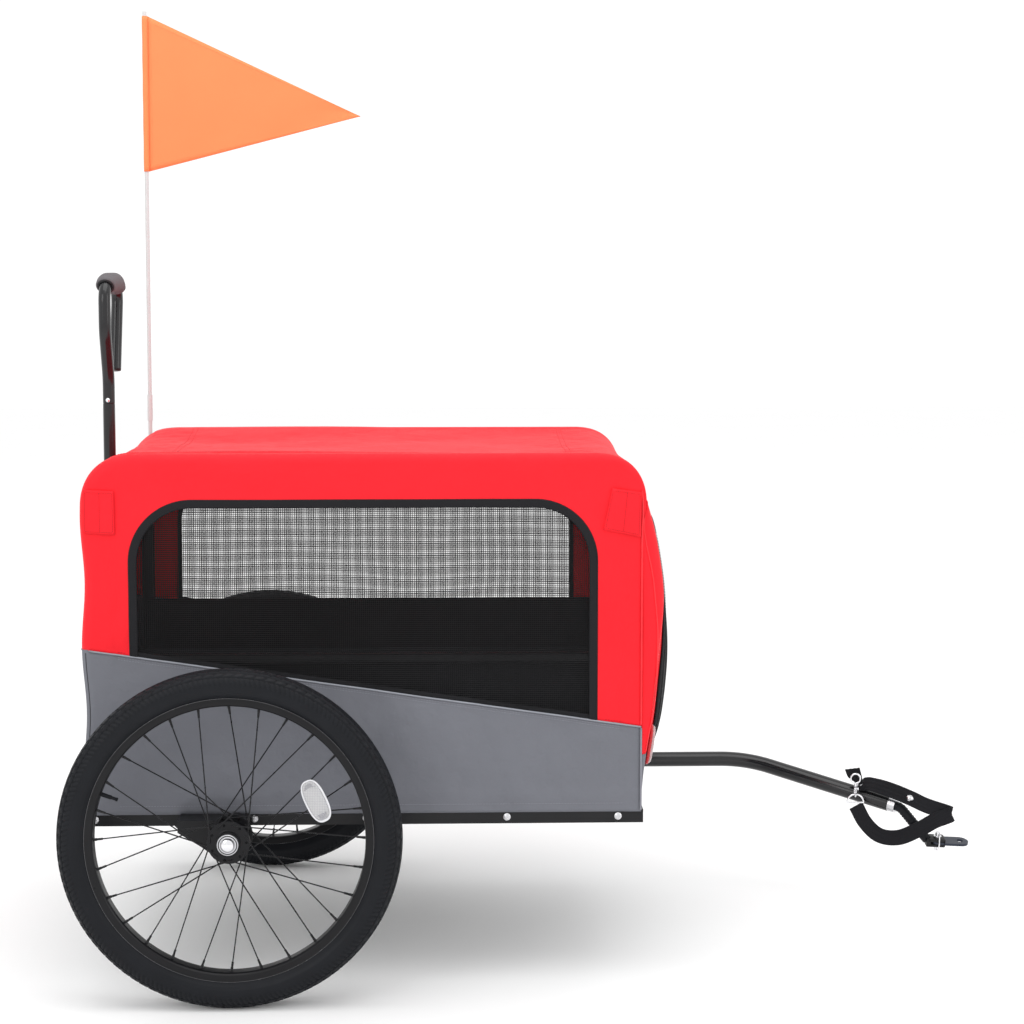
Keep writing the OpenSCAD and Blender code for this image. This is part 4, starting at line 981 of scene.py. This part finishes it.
def wheel(s):
    side = "left" if s > 0 else "right"
    body = "wheel_" + side
    tyre(s)
    wheel_ring("rim_shell_" + side, s, [(-13, 199), (-13, 208.4), (-12.3, 209.3), (-11.2, 209.2), (-10.9, 206.8), (-9.4, 204.6),
                                        (-9.4, 202.4), (9.4, 202.4), (9.4, 204.6), (10.9, 206.8), (11.2, 209.2), (12.3, 209.3),
                                        (13, 208.4), (13, 199), (10.6, 196.8), (7.5, 196.1), (-7.5, 196.1), (-10.6, 196.8)],
               mat["rim_paint"], body, ["rim_" + side], 260, 0.45)
    # a lighter grey ring on each rim lip: a painted highlight line along the rim's edge
    for k, z in enumerate((-12.9, 12.9)):
        wheel_ring(f"rim_edge_highlight_{side}_{k}", s, [(z - 0.22, 208.3), (z + 0.22, 208.3), (z + 0.22, 208.9), (z - 0.22, 208.9)],
                   mat["rim_edge_highlight"], body, (), 260, 0.08)
    wheel_ring("hub_shell_" + side, s, [(-29, 14.2), (-29, 17), (-27.5, 17.6), (-22.6, 17.6), (-21.6, 19.5), (-21.5, 31), (-18.5, 31),
                                        (-18.4, 19), (-15, 14.6), (-6, 12.9), (6, 12.9), (15, 14.6), (18.4, 19), (18.5, 31), (21.5, 31),
                                        (21.6, 19.5), (22.6, 17.6), (27.5, 17.6), (29, 17), (29, 14.2), (21, 14.2), (21, 7.5), (-21, 7.5), (-21, 14.2)],
               mat["rim_paint"], body, ["hub_" + side], 96, 0.5)
    parts = []
    for i in range(28):
        face, lead = (1 if i % 2 == 0 else -1), (1 if (i // 2) % 2 == 0 else -1)
        turn = math.radians(i * 360 / 28)
        lean = turn + lead * math.radians(77)
        seat = face * 20 + lead * 2.6
        near = np.array([26 * math.cos(lean), 26 * math.sin(lean), seat])
        far = np.array([197 * math.cos(turn), 197 * math.sin(turn), 0])
        along = (far - near) / np.linalg.norm(far - near)
        back = np.array([0, 0, -lead])
        head = near + back * 4.6
        path = [head - back * -0.5, head, head - back * 0.6, near + back * 1.6, near + back * 0.7 + along * 0.35,
                near + along * 1.6, near + along * 6, far - along * 14]
        radius = [0.9, 1.9, 1.0, 1.0, 1.0, 1.0, 1.0, 0.95]
        parts.append(tube_data(at(on_hub(s, path)), np.array(radius) / 1000, 10))
        nip = [far - along * 14.2, far - along * 14, far - along * 6, far - along * 5.4, far + along * 1.5]
        parts.append(tube_data(at(on_hub(s, nip)), np.array([1.2, 1.65, 1.75, 2.1, 2.1]) / 1000, 8))
    points, faces = join(parts)
    piece("spoke_set_" + side, points, faces, mat["spoke"], body, ["spokes_" + side])
    wheel_ring("axle_body_" + side, s, [(-95.5, 2.6), (-95.5, 5), (-94.5, 6), (29.4, 6), (29.4, 15.0), (30, 15.5), (33.1, 15.5), (34, 14.9),
                                        (34, 13.9), (33.0, 13.7), (33.0, 12.5), (34, 12.3), (34, 10.7), (33.5, 10.15), (32.5, 10.1), (32.5, 2.6)],
               mat["alloy"], "axle_" + side, ["axle_" + side], 96, 0.25)
    wheel_ring("axle_seal_" + side, s, [(33.05, 12.55), (33.5, 12.55), (33.5, 13.65), (33.05, 13.65)], mat["plastic"],
               "axle_" + side, (), 96, 0.1)
    spoke_lens(s)


def oval_path(length, width, power=2.6, count=72):
    a = np.arange(count) * 2 * math.pi / count
    c, q = np.cos(a), np.sin(a)
    return np.stack([length / 2 * np.sign(c) * np.abs(c) ** (2 / power), width / 2 * np.sign(q) * np.abs(q) ** (2 / power)], -1)


def oval_data(length, width, levels, power=2.6):
    """A closed oval cushion-topped plate: levels are (height, inset) from the bottom to the top."""
    base = oval_path(length, width, power)
    rows = []
    for h, inset in levels:
        f = np.array([(length / 2 - inset) / (length / 2), (width / 2 - inset) / (width / 2)])
        rows.append(np.concatenate([base * f, np.full((len(base), 1), h)], 1))
    points = np.concatenate(rows)
    n = len(base)
    faces = grid_quads(len(levels), n, False, True)[:, ::-1].tolist()
    low, high = len(points), len(points) + 1
    points = np.concatenate([points, [[0, 0, levels[0][0]], [0, 0, levels[-1][0]]]])
    faces += [[(k + 1) % n, k, low] for k in range(n)]
    top = (len(levels) - 1) * n
    faces += [[top + k, top + (k + 1) % n, high] for k in range(n)]
    return points, faces


def spoke_lens(s):
    side = "left" if s > 0 else "right"
    body = "wheel_" + side
    a = math.radians(25 * -s)
    radial, tangent = np.array([math.cos(a), math.sin(a), 0]), np.array([-math.sin(a), math.cos(a), 0])

    def put(p):
        p = np.asarray(p, float)
        local = radial * 138.5 + tangent * p[:, :1] + radial * -p[:, 1:2] + np.array([0, 0, 1.0]) * (12.5 + p[:, 2:])
        return at(on_hub(s, local))

    points, faces = oval_data(66, 32, [(0, 1), (0.3, 0.3), (2.2, 0), (2.8, 0.4), (3.0, 1.2), (3.0, 2.2), (2.4, 2.6)])
    o = piece("spoke_lens_rim_" + side, put(points), faces, mat["clear_rim"], body, ["spoke_reflector_" + side])
    outward(o)
    points, faces = oval_data(60, 26, [(2.35, 0.4), (2.6, 0), (3.4, 0.1), (3.8, 0.7), (4.0, 1.8)], 3.0)
    points[:, 0] += -1.0 * s
    o = piece("spoke_lens_" + side, put(points), faces, mat["clear_lens"], body)
    outward(o)
    parts = []
    foot = 1 if s > 0 else -1
    for k in range(4):
        x = foot * (20.5 + k * 2.2)
        w = 7.0 - k * 0.9
        parts.append(tube_data(put([(x, -w, 4.1), (x, -w * 0.5, 4.2), (x, w * 0.5, 4.2), (x, w, 4.1)]), 0.00055, 8))
    for k in range(3):
        x = -foot * (21 + k * 2.4)
        w = 8.0 - k * 1.6
        line = [(x - foot * 1.8 * (1 - (j / 6) ** 2), w * j / 6, 4.15) for j in range(-6, 7)]
        parts.append(tube_data(put(line), 0.0005, 8))
    points, faces = join(parts)
    piece("spoke_lens_ribs_" + side, points, faces, mat["lens_rib"], body)
    clip = [(-3, -14, 1), (-3, -15, -4), (-3, -8, -9), (3, -8, -9), (3, -15, -4), (3, -14, 1)]
    points, faces = tube_data(put(clip), 0.0012, 8)
    piece("spoke_lens_clip_" + side, points, faces, mat["plastic"], body)


# lighter grey for the ring on the rim lip: a painted highlight
mat["rim_edge_highlight"] = coated("rim_edge_highlight", (0.10, 0.10, 0.105), rough=0.25, grain=300, metal=0.6, worn=1.3)
mat["spoke"] = coated("black_spoke", (0.010, 0.010, 0.011), rough=0.28, grain=500, depth=0.00004, worn=1.6)
mat["clear_rim"] = coated("clear_rim", (0.72, 0.72, 0.75), rough=0.1, grain=100, depth=0.00004, coat=1.0, worn=1.1)
mat["lens_rib"] = coated("lens_rib", (0.30, 0.30, 0.33), rough=0.3, grain=200)
for s in (-1, 1):
    wheel(s)


# ---- handle ----

POST_X = -223.0


def arc(centre, r, a0, a1, steps):
    a = np.radians(np.linspace(a0, a1, steps + 1))
    return np.stack([centre[0] + r * np.cos(a), centre[1] + r * np.sin(a)], -1)


def swept(name, path_mm, stations, material, body, stands_for=(), sides=32, closed=True):
    """A round section carried along a path: stations are (distance along it, radius), in mm."""
    path = np.asarray(path_mm, float)
    t, a, b = frames(path)
    along = np.concatenate([[0], np.cumsum(np.linalg.norm(np.diff(path, axis=0), axis=1))])
    d = np.array([k[0] for k in stations], float)
    r = np.array([k[1] for k in stations], float)
    take = lambda data: np.stack([np.interp(d, along, data[:, k]) for k in range(3)], -1)
    c, u, v = take(path), take(a), take(b)
    turn = np.arange(sides) * 2 * math.pi / sides
    ring = np.cos(turn)[None, :, None] * u[:, None] + np.sin(turn)[None, :, None] * v[:, None]
    points = at(c[:, None] + ring * r[:, None, None]).reshape(-1, 3)
    faces = grid_quads(len(d), sides, closed, True).tolist()
    if not closed:
        faces += [list(range(sides)), [(len(d) - 1) * sides + k for k in range(sides)][::-1]]
    o = piece(name, points, faces, material, body, stands_for)
    outward(o)
    return o, along[-1]


def handle():
    shift = 160 * (1 - math.cos(math.radians(20))) + 52 * math.sin(math.radians(20))
    start, left, low = 885.0, 30 - (160 * (1 - math.cos(math.radians(20))) + 52 * math.sin(math.radians(20))), 1020.0
    end = start + 160 * math.sin(math.radians(20)) + 52 * math.cos(math.radians(20))
    fall = arc((left + 62, low), 30, 90, -15, 18)
    drop = fall[-1] + 107 * np.array([math.cos(math.radians(255)), math.sin(math.radians(255))])
    flat = np.concatenate([[(0, 858.3), (0, 870)], arc((-80, start), 80, 0, 20, 8), arc((80 - shift, end), 80, 200, 180, 8),
                           arc((left, low), 30, 180, 90, 16), fall, [fall[-1] * 0.5 + drop * 0.5, drop]])
    path = np.stack([np.full(len(flat), POST_X), flat[:, 0], flat[:, 1]], -1)
    along = np.concatenate([[0], np.cumsum(np.linalg.norm(np.diff(path, axis=0), axis=1))])
    total = along[-1]
    ds = [0, 0.5, 1.2] + [float(k) for k in np.unique(np.concatenate([along[1:-1], np.arange(6, total - 4, 6)]))] + [total - 1, total - 0.2, total]
    ds = sorted(set(ds))
    out = [(k, 9.5 - (0.6 if k in (0,) else 0) - (0.5 if k > total - 0.1 else 0)) for k in ds]
    back = [(k, 8.0) for k in ds[::-1]]
    swept("handle_pipe", path, out + back, mat["paint"], "handle", ["handle_tube"])
    tip = np.array([path[-1] + (path[-1] - path[-2]) / np.linalg.norm(path[-1] - path[-2]) * k for k in (-14, -6, 0, 1.2, 2.4)])
    swept("handle_plug", tip, [(0, 7.9), (8, 7.9), (14, 7.9), (14.2, 9.3), (15.6, 9.0), (16.4, 6.0)], mat["plastic"], "handle", closed=False)
    first = along[np.argmin(np.abs(path[:, 2] - low) + 100 * (path[:, 1] > -20))]
    a, b = first + 30 * math.radians(54), first + 30 * math.radians(90) + 62 + 30 * math.radians(50)
    rows = [(a, 9.62), (a, 13.6), (a + 0.5, 14.8), (a + 1.6, 15.4)]
    rows += [(k, 15.5 - 0.12 * math.sin(k * 0.7)) for k in np.linspace(a + 3, b - 3, 34)]
    rows += [(b - 1.6, 15.4), (b - 0.5, 14.8), (b, 13.6), (b, 9.62)] + [(k, 9.62) for k in np.linspace(b - 2, a + 2, 20)]
    o, _ = swept("foam_sleeve", path, rows, mat["foam"], "handle", ["foam_grip"], 48)
    for name, d0, d1 in (("near", a - 0.25, a + 0.3), ("far", b - 0.3, b + 0.25)):
        swept("foam_end_" + name, path, [(d0, 9.7), (d0, 13.4), (d1, 13.4), (d1, 9.7)], mat["foam_end"], "handle", (), 48)


# ---- hitch ----

def fillet(points, r, steps=14):
    points = [np.array(p, float) for p in points]
    out = [points[0]]
    for a, p, b in zip(points, points[1:], points[2:]):
        u, v = (a - p) / np.linalg.norm(a - p), (b - p) / np.linalg.norm(b - p)
        d = min(r, np.linalg.norm(a - p) * 0.45, np.linalg.norm(b - p) * 0.45)
        for k in np.linspace(0, 1, steps + 1):
            out.append((1 - k) ** 2 * (p + u * d) + 2 * k * (1 - k) * p + k * k * (p + v * d))
    out.append(points[-1])
    return np.array(out)


def spline(points, steps=10):
    """A smooth line through points (any number of columns)."""
    p = np.asarray(points, float)
    p = np.concatenate([[2 * p[0] - p[1]], p, [2 * p[-1] - p[-2]]])
    out = []
    for k in range(1, len(p) - 2):
        a, b, c, d = p[k - 1], p[k], p[k + 1], p[k + 2]
        for f in np.linspace(0, 1, steps, endpoint=False):
            out.append(0.5 * ((2 * b) + (c - a) * f + (2 * a - 5 * b + 4 * c - d) * f * f + (3 * b - a - 3 * c + d) * f ** 3))
    out.append(p[-2])
    return np.array(out)


ARM = [(572, 230, 218), (835, 230, 218), (1057, 86, 175)]
PIN = np.array([1133.0, 62, 118])
ARM_DIR = np.subtract(ARM[2], ARM[1]) / np.linalg.norm(np.subtract(ARM[2], ARM[1]))


def tilted(p):
    """From the hitch plate's own axes, in mm, to the model's."""
    roll, pitch = math.radians(9), math.radians(3)
    rx = np.array([[1, 0, 0], [0, math.cos(roll), -math.sin(roll)], [0, math.sin(roll), math.cos(roll)]])
    ry = np.array([[math.cos(pitch), 0, math.sin(pitch)], [0, 1, 0], [-math.sin(pitch), 0, math.cos(pitch)]])
    return PIN + np.asarray(p, float) @ (ry @ rx).T


def plate_data(outline, z0, z1, edge=0.6):
    """A flat plate with softened edges from a closed outline, in its own axes."""
    outline = np.asarray(outline, float)
    d = np.roll(outline, -1, 0) - np.roll(outline, 1, 0)
    n = np.stack([d[:, 1], -d[:, 0]], -1)
    n /= np.linalg.norm(n, axis=1, keepdims=True)
    area = np.sum(outline[:, 0] * np.roll(outline[:, 1], -1) - np.roll(outline[:, 0], -1) * outline[:, 1])
    n *= 1 if area > 0 else -1
    rows = []
    for h, inset in ((z0, edge), (z0 + edge * 0.3, edge * 0.3), (z0 + edge, 0), (z1 - edge, 0), (z1 - edge * 0.3, edge * 0.3), (z1, edge)):
        rows.append(np.concatenate([outline - n * inset, np.full((len(outline), 1), h)], 1))
    m = len(outline)
    faces = grid_quads(6, m, False, True).tolist() + [list(range(m))[::-1], [5 * m + k for k in range(m)]]
    return np.concatenate(rows), faces


def hitch():
    path = fillet([np.subtract(ARM[0], (12, 0, 0)), ARM[1], ARM[2]], 46)
    along = np.concatenate([[0], np.cumsum(np.linalg.norm(np.diff(path, axis=0), axis=1))])
    total = along[-1]
    ds = sorted(set([0.0, 0.6, 1.6] + [float(k) for k in along[1:-1]] + [total - 1.6, total - 0.5, total]))
    rows = [(k, 12.7 - (0.9 if k in (0.0,) or k == total else 0) - (0.25 if k in (0.6, total - 0.5) else 0)) for k in ds]
    rows += [(k, 10.6) for k in ds[::-1]]
    swept("hitch_pipe", path, rows, mat["paint"], "hitch_arm", ["hitch_arm"], 40)
    tip = np.array(ARM[2], float)
    elbow = tip + 20 * ARM_DIR
    neck = fillet([tip + 3.2 * ARM_DIR, elbow, tilted((-17, 0, 1))], 9, 10)
    length = np.linalg.norm(np.diff(neck, axis=0), axis=1).sum()
    rows = [(0, 7.4), (0.5, 8.0)] + [(k, 8.0 + 0.28 * (1 if int(k / 2.6) % 2 else -1)) for k in np.arange(11, length - 14, 1.3)]
    rows += [(length - 12, 8.0), (length - 0.5, 7.8), (length, 7.2)]
    swept("neck_rubber", neck, rows, mat["rubber"], "hitch_neck", ["hitch_neck"], 32, closed=False)
    parts = []
    for z0, z1 in ((-6.5, -2.4), (2.4, 6.5)):
        rim = rounded([(-20, -12), (10, -12), (12, -10), (12, 10), (10, 12), (-20, 12)], 3.5, 5)
        p, f = plate_data(rim, z0, z1)
        parts.append((at(tilted(p)), f))
    p, f = plate_data(rounded([(-20, -12), (-13, -12), (-13, 12), (-20, 12)], 1.2, 3), -6.5, 6.5)
    parts.append((at(tilted(p)), f))
    points, faces = join(parts)
    o = piece("neck_fork", points, faces, mat["frame_paint"], "hitch_neck")
    outward(o)


STRAP = [(996, 97, 233), (1002, 103, 218), (1011, 109, 204), (1029, 97, 206), (1057, 76, 201), (1086, 58, 192), (1112, 50, 181),
         (1146, 46, 170), (1148, 42, 167), (1124, 44, 157), (1099, 52, 140), (1068, 62, 124), (1038, 72, 125), (1016, 82, 144), (1001, 88, 172)]
STRAP_ACROSS = [(1, -0.3, 0), (0.9, -0.4, -0.2), (0.4, -0.8, -0.3), (0.3, -0.8, -0.5), (0.2, -0.6, -0.8), (0.2, -0.5, -0.9), (0.3, -0.4, -0.9),
                (0.2, -0.3, -1), (0.2, -0.2, -1), (0.5, -0.2, -0.9), (0.5, -0.2, -0.9), (0.3, -0.3, -0.9), (-0.5, -0.3, -0.8),
                (-0.9, -0.2, -0.4), (-1, -0.1, -0.2)]


def strap():
    both = spline(np.concatenate([STRAP, STRAP_ACROSS], 1), 12)
    line, across = both[:, :3], both[:, 3:]
    t = np.gradient(line, axis=0)
    t /= np.linalg.norm(t, axis=1, keepdims=True)
    across = across - t * (across * t).sum(1, keepdims=True)
    across /= np.linalg.norm(across, axis=1, keepdims=True)
    f = np.linspace(-1, 1, 15)
    out = np.cross(t, across)
    g = line[:, None] + across[:, None] * (f * 12.6)[None, :, None] + out[:, None] * (0.35 * np.cos(f * math.pi * 3.5) * (1 - f ** 6))[None, :, None]
    o = shell("strap_band", g, 1.9, out[40], mat["strap"], "hitch_arm", ["safety_strap"])
    length = np.linalg.norm(np.diff(line, axis=0), axis=1).sum()
    rows = []
    for a, b in ((0.30, 0.36), (0.93, 0.96)):
        i, j = int(a * len(line)), int(b * len(line))
        for w in (-10.5, 10.5):
            rows.append((line[i:j + 1] + across[i:j + 1] * w + out[i:j + 1] * 0.3, out[i:j + 1]))
    stitches("strap_stitches", rows, mat["black_thread"], "hitch_arm", pitch=3, length=2.1)
    return o, length


# ---- flag, lamps, lining and what the CAD draws already ----

def pennant():
    x0, top, height, reach, y = -197.0, 1499.0, 262.0, 366.0, 264.0
    u = np.linspace(0, 1, 60)
    v = np.linspace(0, 1, 30)
    uu, vv = np.meshgrid(u, v, indexing="ij")
    head, foot = top + (top - 168 - top) * uu, top - height + (top - 168 - top + height) * uu
    z = head + (foot - head) * vv
    x = x0 + 4.6 + (reach - 4.6) * uu * 0.998
    wave = 4.0 * np.sin(uu * 5.2 + vv * 0.8) * uu * (1 - 0.4 * uu) + 0.8 * np.sin(uu * 14 + vv * 5) * uu
    g = np.stack([x, y + wave, z], -1)
    o = shell("pennant_cloth", g, 0.5, (0, -1, 0), mat["flag"], "flag", ["pennant"])
    a = np.linspace(0, 2 * math.pi, 21)[:-1]
    zz = np.linspace(top - height, top, 40)
    tt, hh = np.meshgrid(a, zz, indexing="ij")
    pull = 1 + 0.16 * np.cos(tt) ** 8 * (np.cos(tt) > 0)
    r = 4.6 * pull + 0.15 * np.sin(hh / 9)
    hem = np.stack([x0 + r * np.cos(tt), y + r * np.sin(tt), hh], -1)
    inner = np.stack([x0 + 3.9 * np.cos(tt), y + 3.9 * np.sin(tt), hh], -1)
    pts = np.concatenate([hem, inner[:, ::-1]], 1)
    sleeve = piece("pennant_sleeve", at(pts).reshape(-1, 3), grid_quads(20, 80, True, True), mat["flag"], "flag",
                   threads=at(pts).reshape(-1, 3))
    outward(sleeve)
    rows = []
    edge = g[2:-3]
    rows.append((edge[:, 1], (0, -1, 0)))
    rows.append((edge[:, -2], (0, -1, 0)))
    rows.append((g[1, 1:-1], (0, -1, 0)))
    stitches("pennant_stitches", rows, mat["flag_thread"], "flag", pitch=3.6, length=2.5, r=0.25)
    return o, sleeve, 0.5 * reach * height / 1e6


def lamp(name, centre, out, up, lens_name, material, slot, node_name):
    out, up = np.array(out, float) / np.linalg.norm(out), np.array(up, float) / np.linalg.norm(up)
    across = np.cross(up, out)

    def put(p):
        p = np.asarray(p, float)
        return at(np.asarray(centre, float) + up * p[:, :1] + across * p[:, 1:2] + out * p[:, 2:])

    points, faces = oval_data(62, 34, [(0, 0.6), (0.6, 0), (3.6, 0), (4.4, 0.5), (4.8, 1.4), (4.2, 2.2)])
    o = piece(name + "_holder", put(points), faces, mat["lamp_case"], "chassis", [node_name])
    outward(o)
    points, faces = oval_data(57.6, 29.6, [(3.8, 0.3), (4.4, 0), (6.6, 0.3), (8.0, 1.6), (8.8, 4.0), (9.2, 8.0)])
    o = piece(name + "_" + lens_name, put(points), faces, mat[material], "chassis")
    outward(o)
    points, faces = oval_data(5, 5, [(0, 0), (1.2, 0), (1.8, 0.8)], 2)
    points[:, 0] -= 26.5
    points[:, 2] += 5.2
    o = piece(name + "_pin", put(points), faces, mat["plate_steel"], "chassis")
    outward(o)


def lining(s):
    x, z = np.linspace(-206, 596, 90), np.linspace(266, 505, 30)
    xx, zz = np.meshgrid(x, z, indexing="ij")
    q = np.stack([xx, 0 * xx, zz], -1)
    y = s * (228.6 + wobble(q, 130, 91 + s, (1, 1, 1.6)) * 1.6 * smooth(zz, 268, 300) * (1 - smooth(zz, 430, 490)))
    side = "left" if s > 0 else "right"
    return shell("lining_" + side, np.stack([xx, y, zz], -1), 1.4, (0, s, 0), mat["lining"], "chassis", ["inner_liners"])


mat["flag_thread"] = coated("flag_thread", (0.9, 0.22, 0.09), rough=0.6, grain=900)
mat["lamp_case"] = coated("lamp_case", (0.45, 0.01, 0.015), rough=0.25, grain=300, coat=0.5)
handle()
hitch()
strap_piece, strap_length = strap()
flag_piece, sleeve_piece, flag_area = pennant()
for s in (-1, 1):
    word = "left" if s > 0 else "right"
    lining(s)
    z = 356.0
    x = float(front_x(s * 226.0, z))
    slope = (float(front_x(s * 226.0, z + 15)) - float(front_x(s * 226.0, z - 15))) / 30
    lamp("front_lamp_" + word, (x + 0.6, s * 226, z), (1, 0, -slope), (slope, 0, 1), "lens", "pink_lens", "red_lens", "front_reflectors")
    lamp("rear_lamp_" + word, (-217.4, s * 196, 330), (-1, 0, 0), (0, 0, 1), "lens", "red_lens", "rear_lens", "rear_reflectors")

SKINS = {
    "frame_paint": ("base_frame", "side_hoop_left", "side_hoop_right", "cross_tubes", "axle_bracket_left", "axle_bracket_right", "arm_bracket"),
    "paint": ("handle_post",),
    "floor_cloth": ("floor_panel",),
    "plate_steel": ("rail_screws", "arm_pivot_bolt", "arm_collar", "strap_rivets", "bearings_left", "bearings_right", "hook_gate"),
    "chrome": ("handle_button", "d_ring", "snap_hook", "hitch_pin", "axle_button_left", "axle_button_right"),
    "dark_steel": ("hitch_plate",),
    "plastic": ("flag_socket", "post_clamp", "zip_slider"),
    "pole": ("flag_pole",),
}
for skin, names in SKINS.items():
    for name in names:
        o = nodes[name]
        o.data.materials.clear()
        o.data.materials.append(mat[skin])

# ---- soft pieces: each window net and its thread lines are looked up again ----


for s in (-1, 1):
    word = "left" if s > 0 else "right"
    o, lines = nets[s]


# ---- floor ----

floor_mesh = bpy.data.meshes.new("floor")
floor_mesh.from_pydata([(-9, -7, 0), (9, -7, 0), (9, 12, 0), (-9, 12, 0)], [], [(0, 1, 2, 3)])
floor = bpy.data.objects.new("floor", floor_mesh)
scene.collection.objects.link(floor)
floor_paint, tree, shader = new_material("pale_floor", (0.92, 0.92, 0.92), 0.9, specular=0.1)
tint(tree, noise(tree, coords(tree), 3, 3), (0.915, 0.915, 0.915), (0.93, 0.93, 0.93), shader.inputs["Base Color"])
floor_mesh.materials.append(floor_paint)
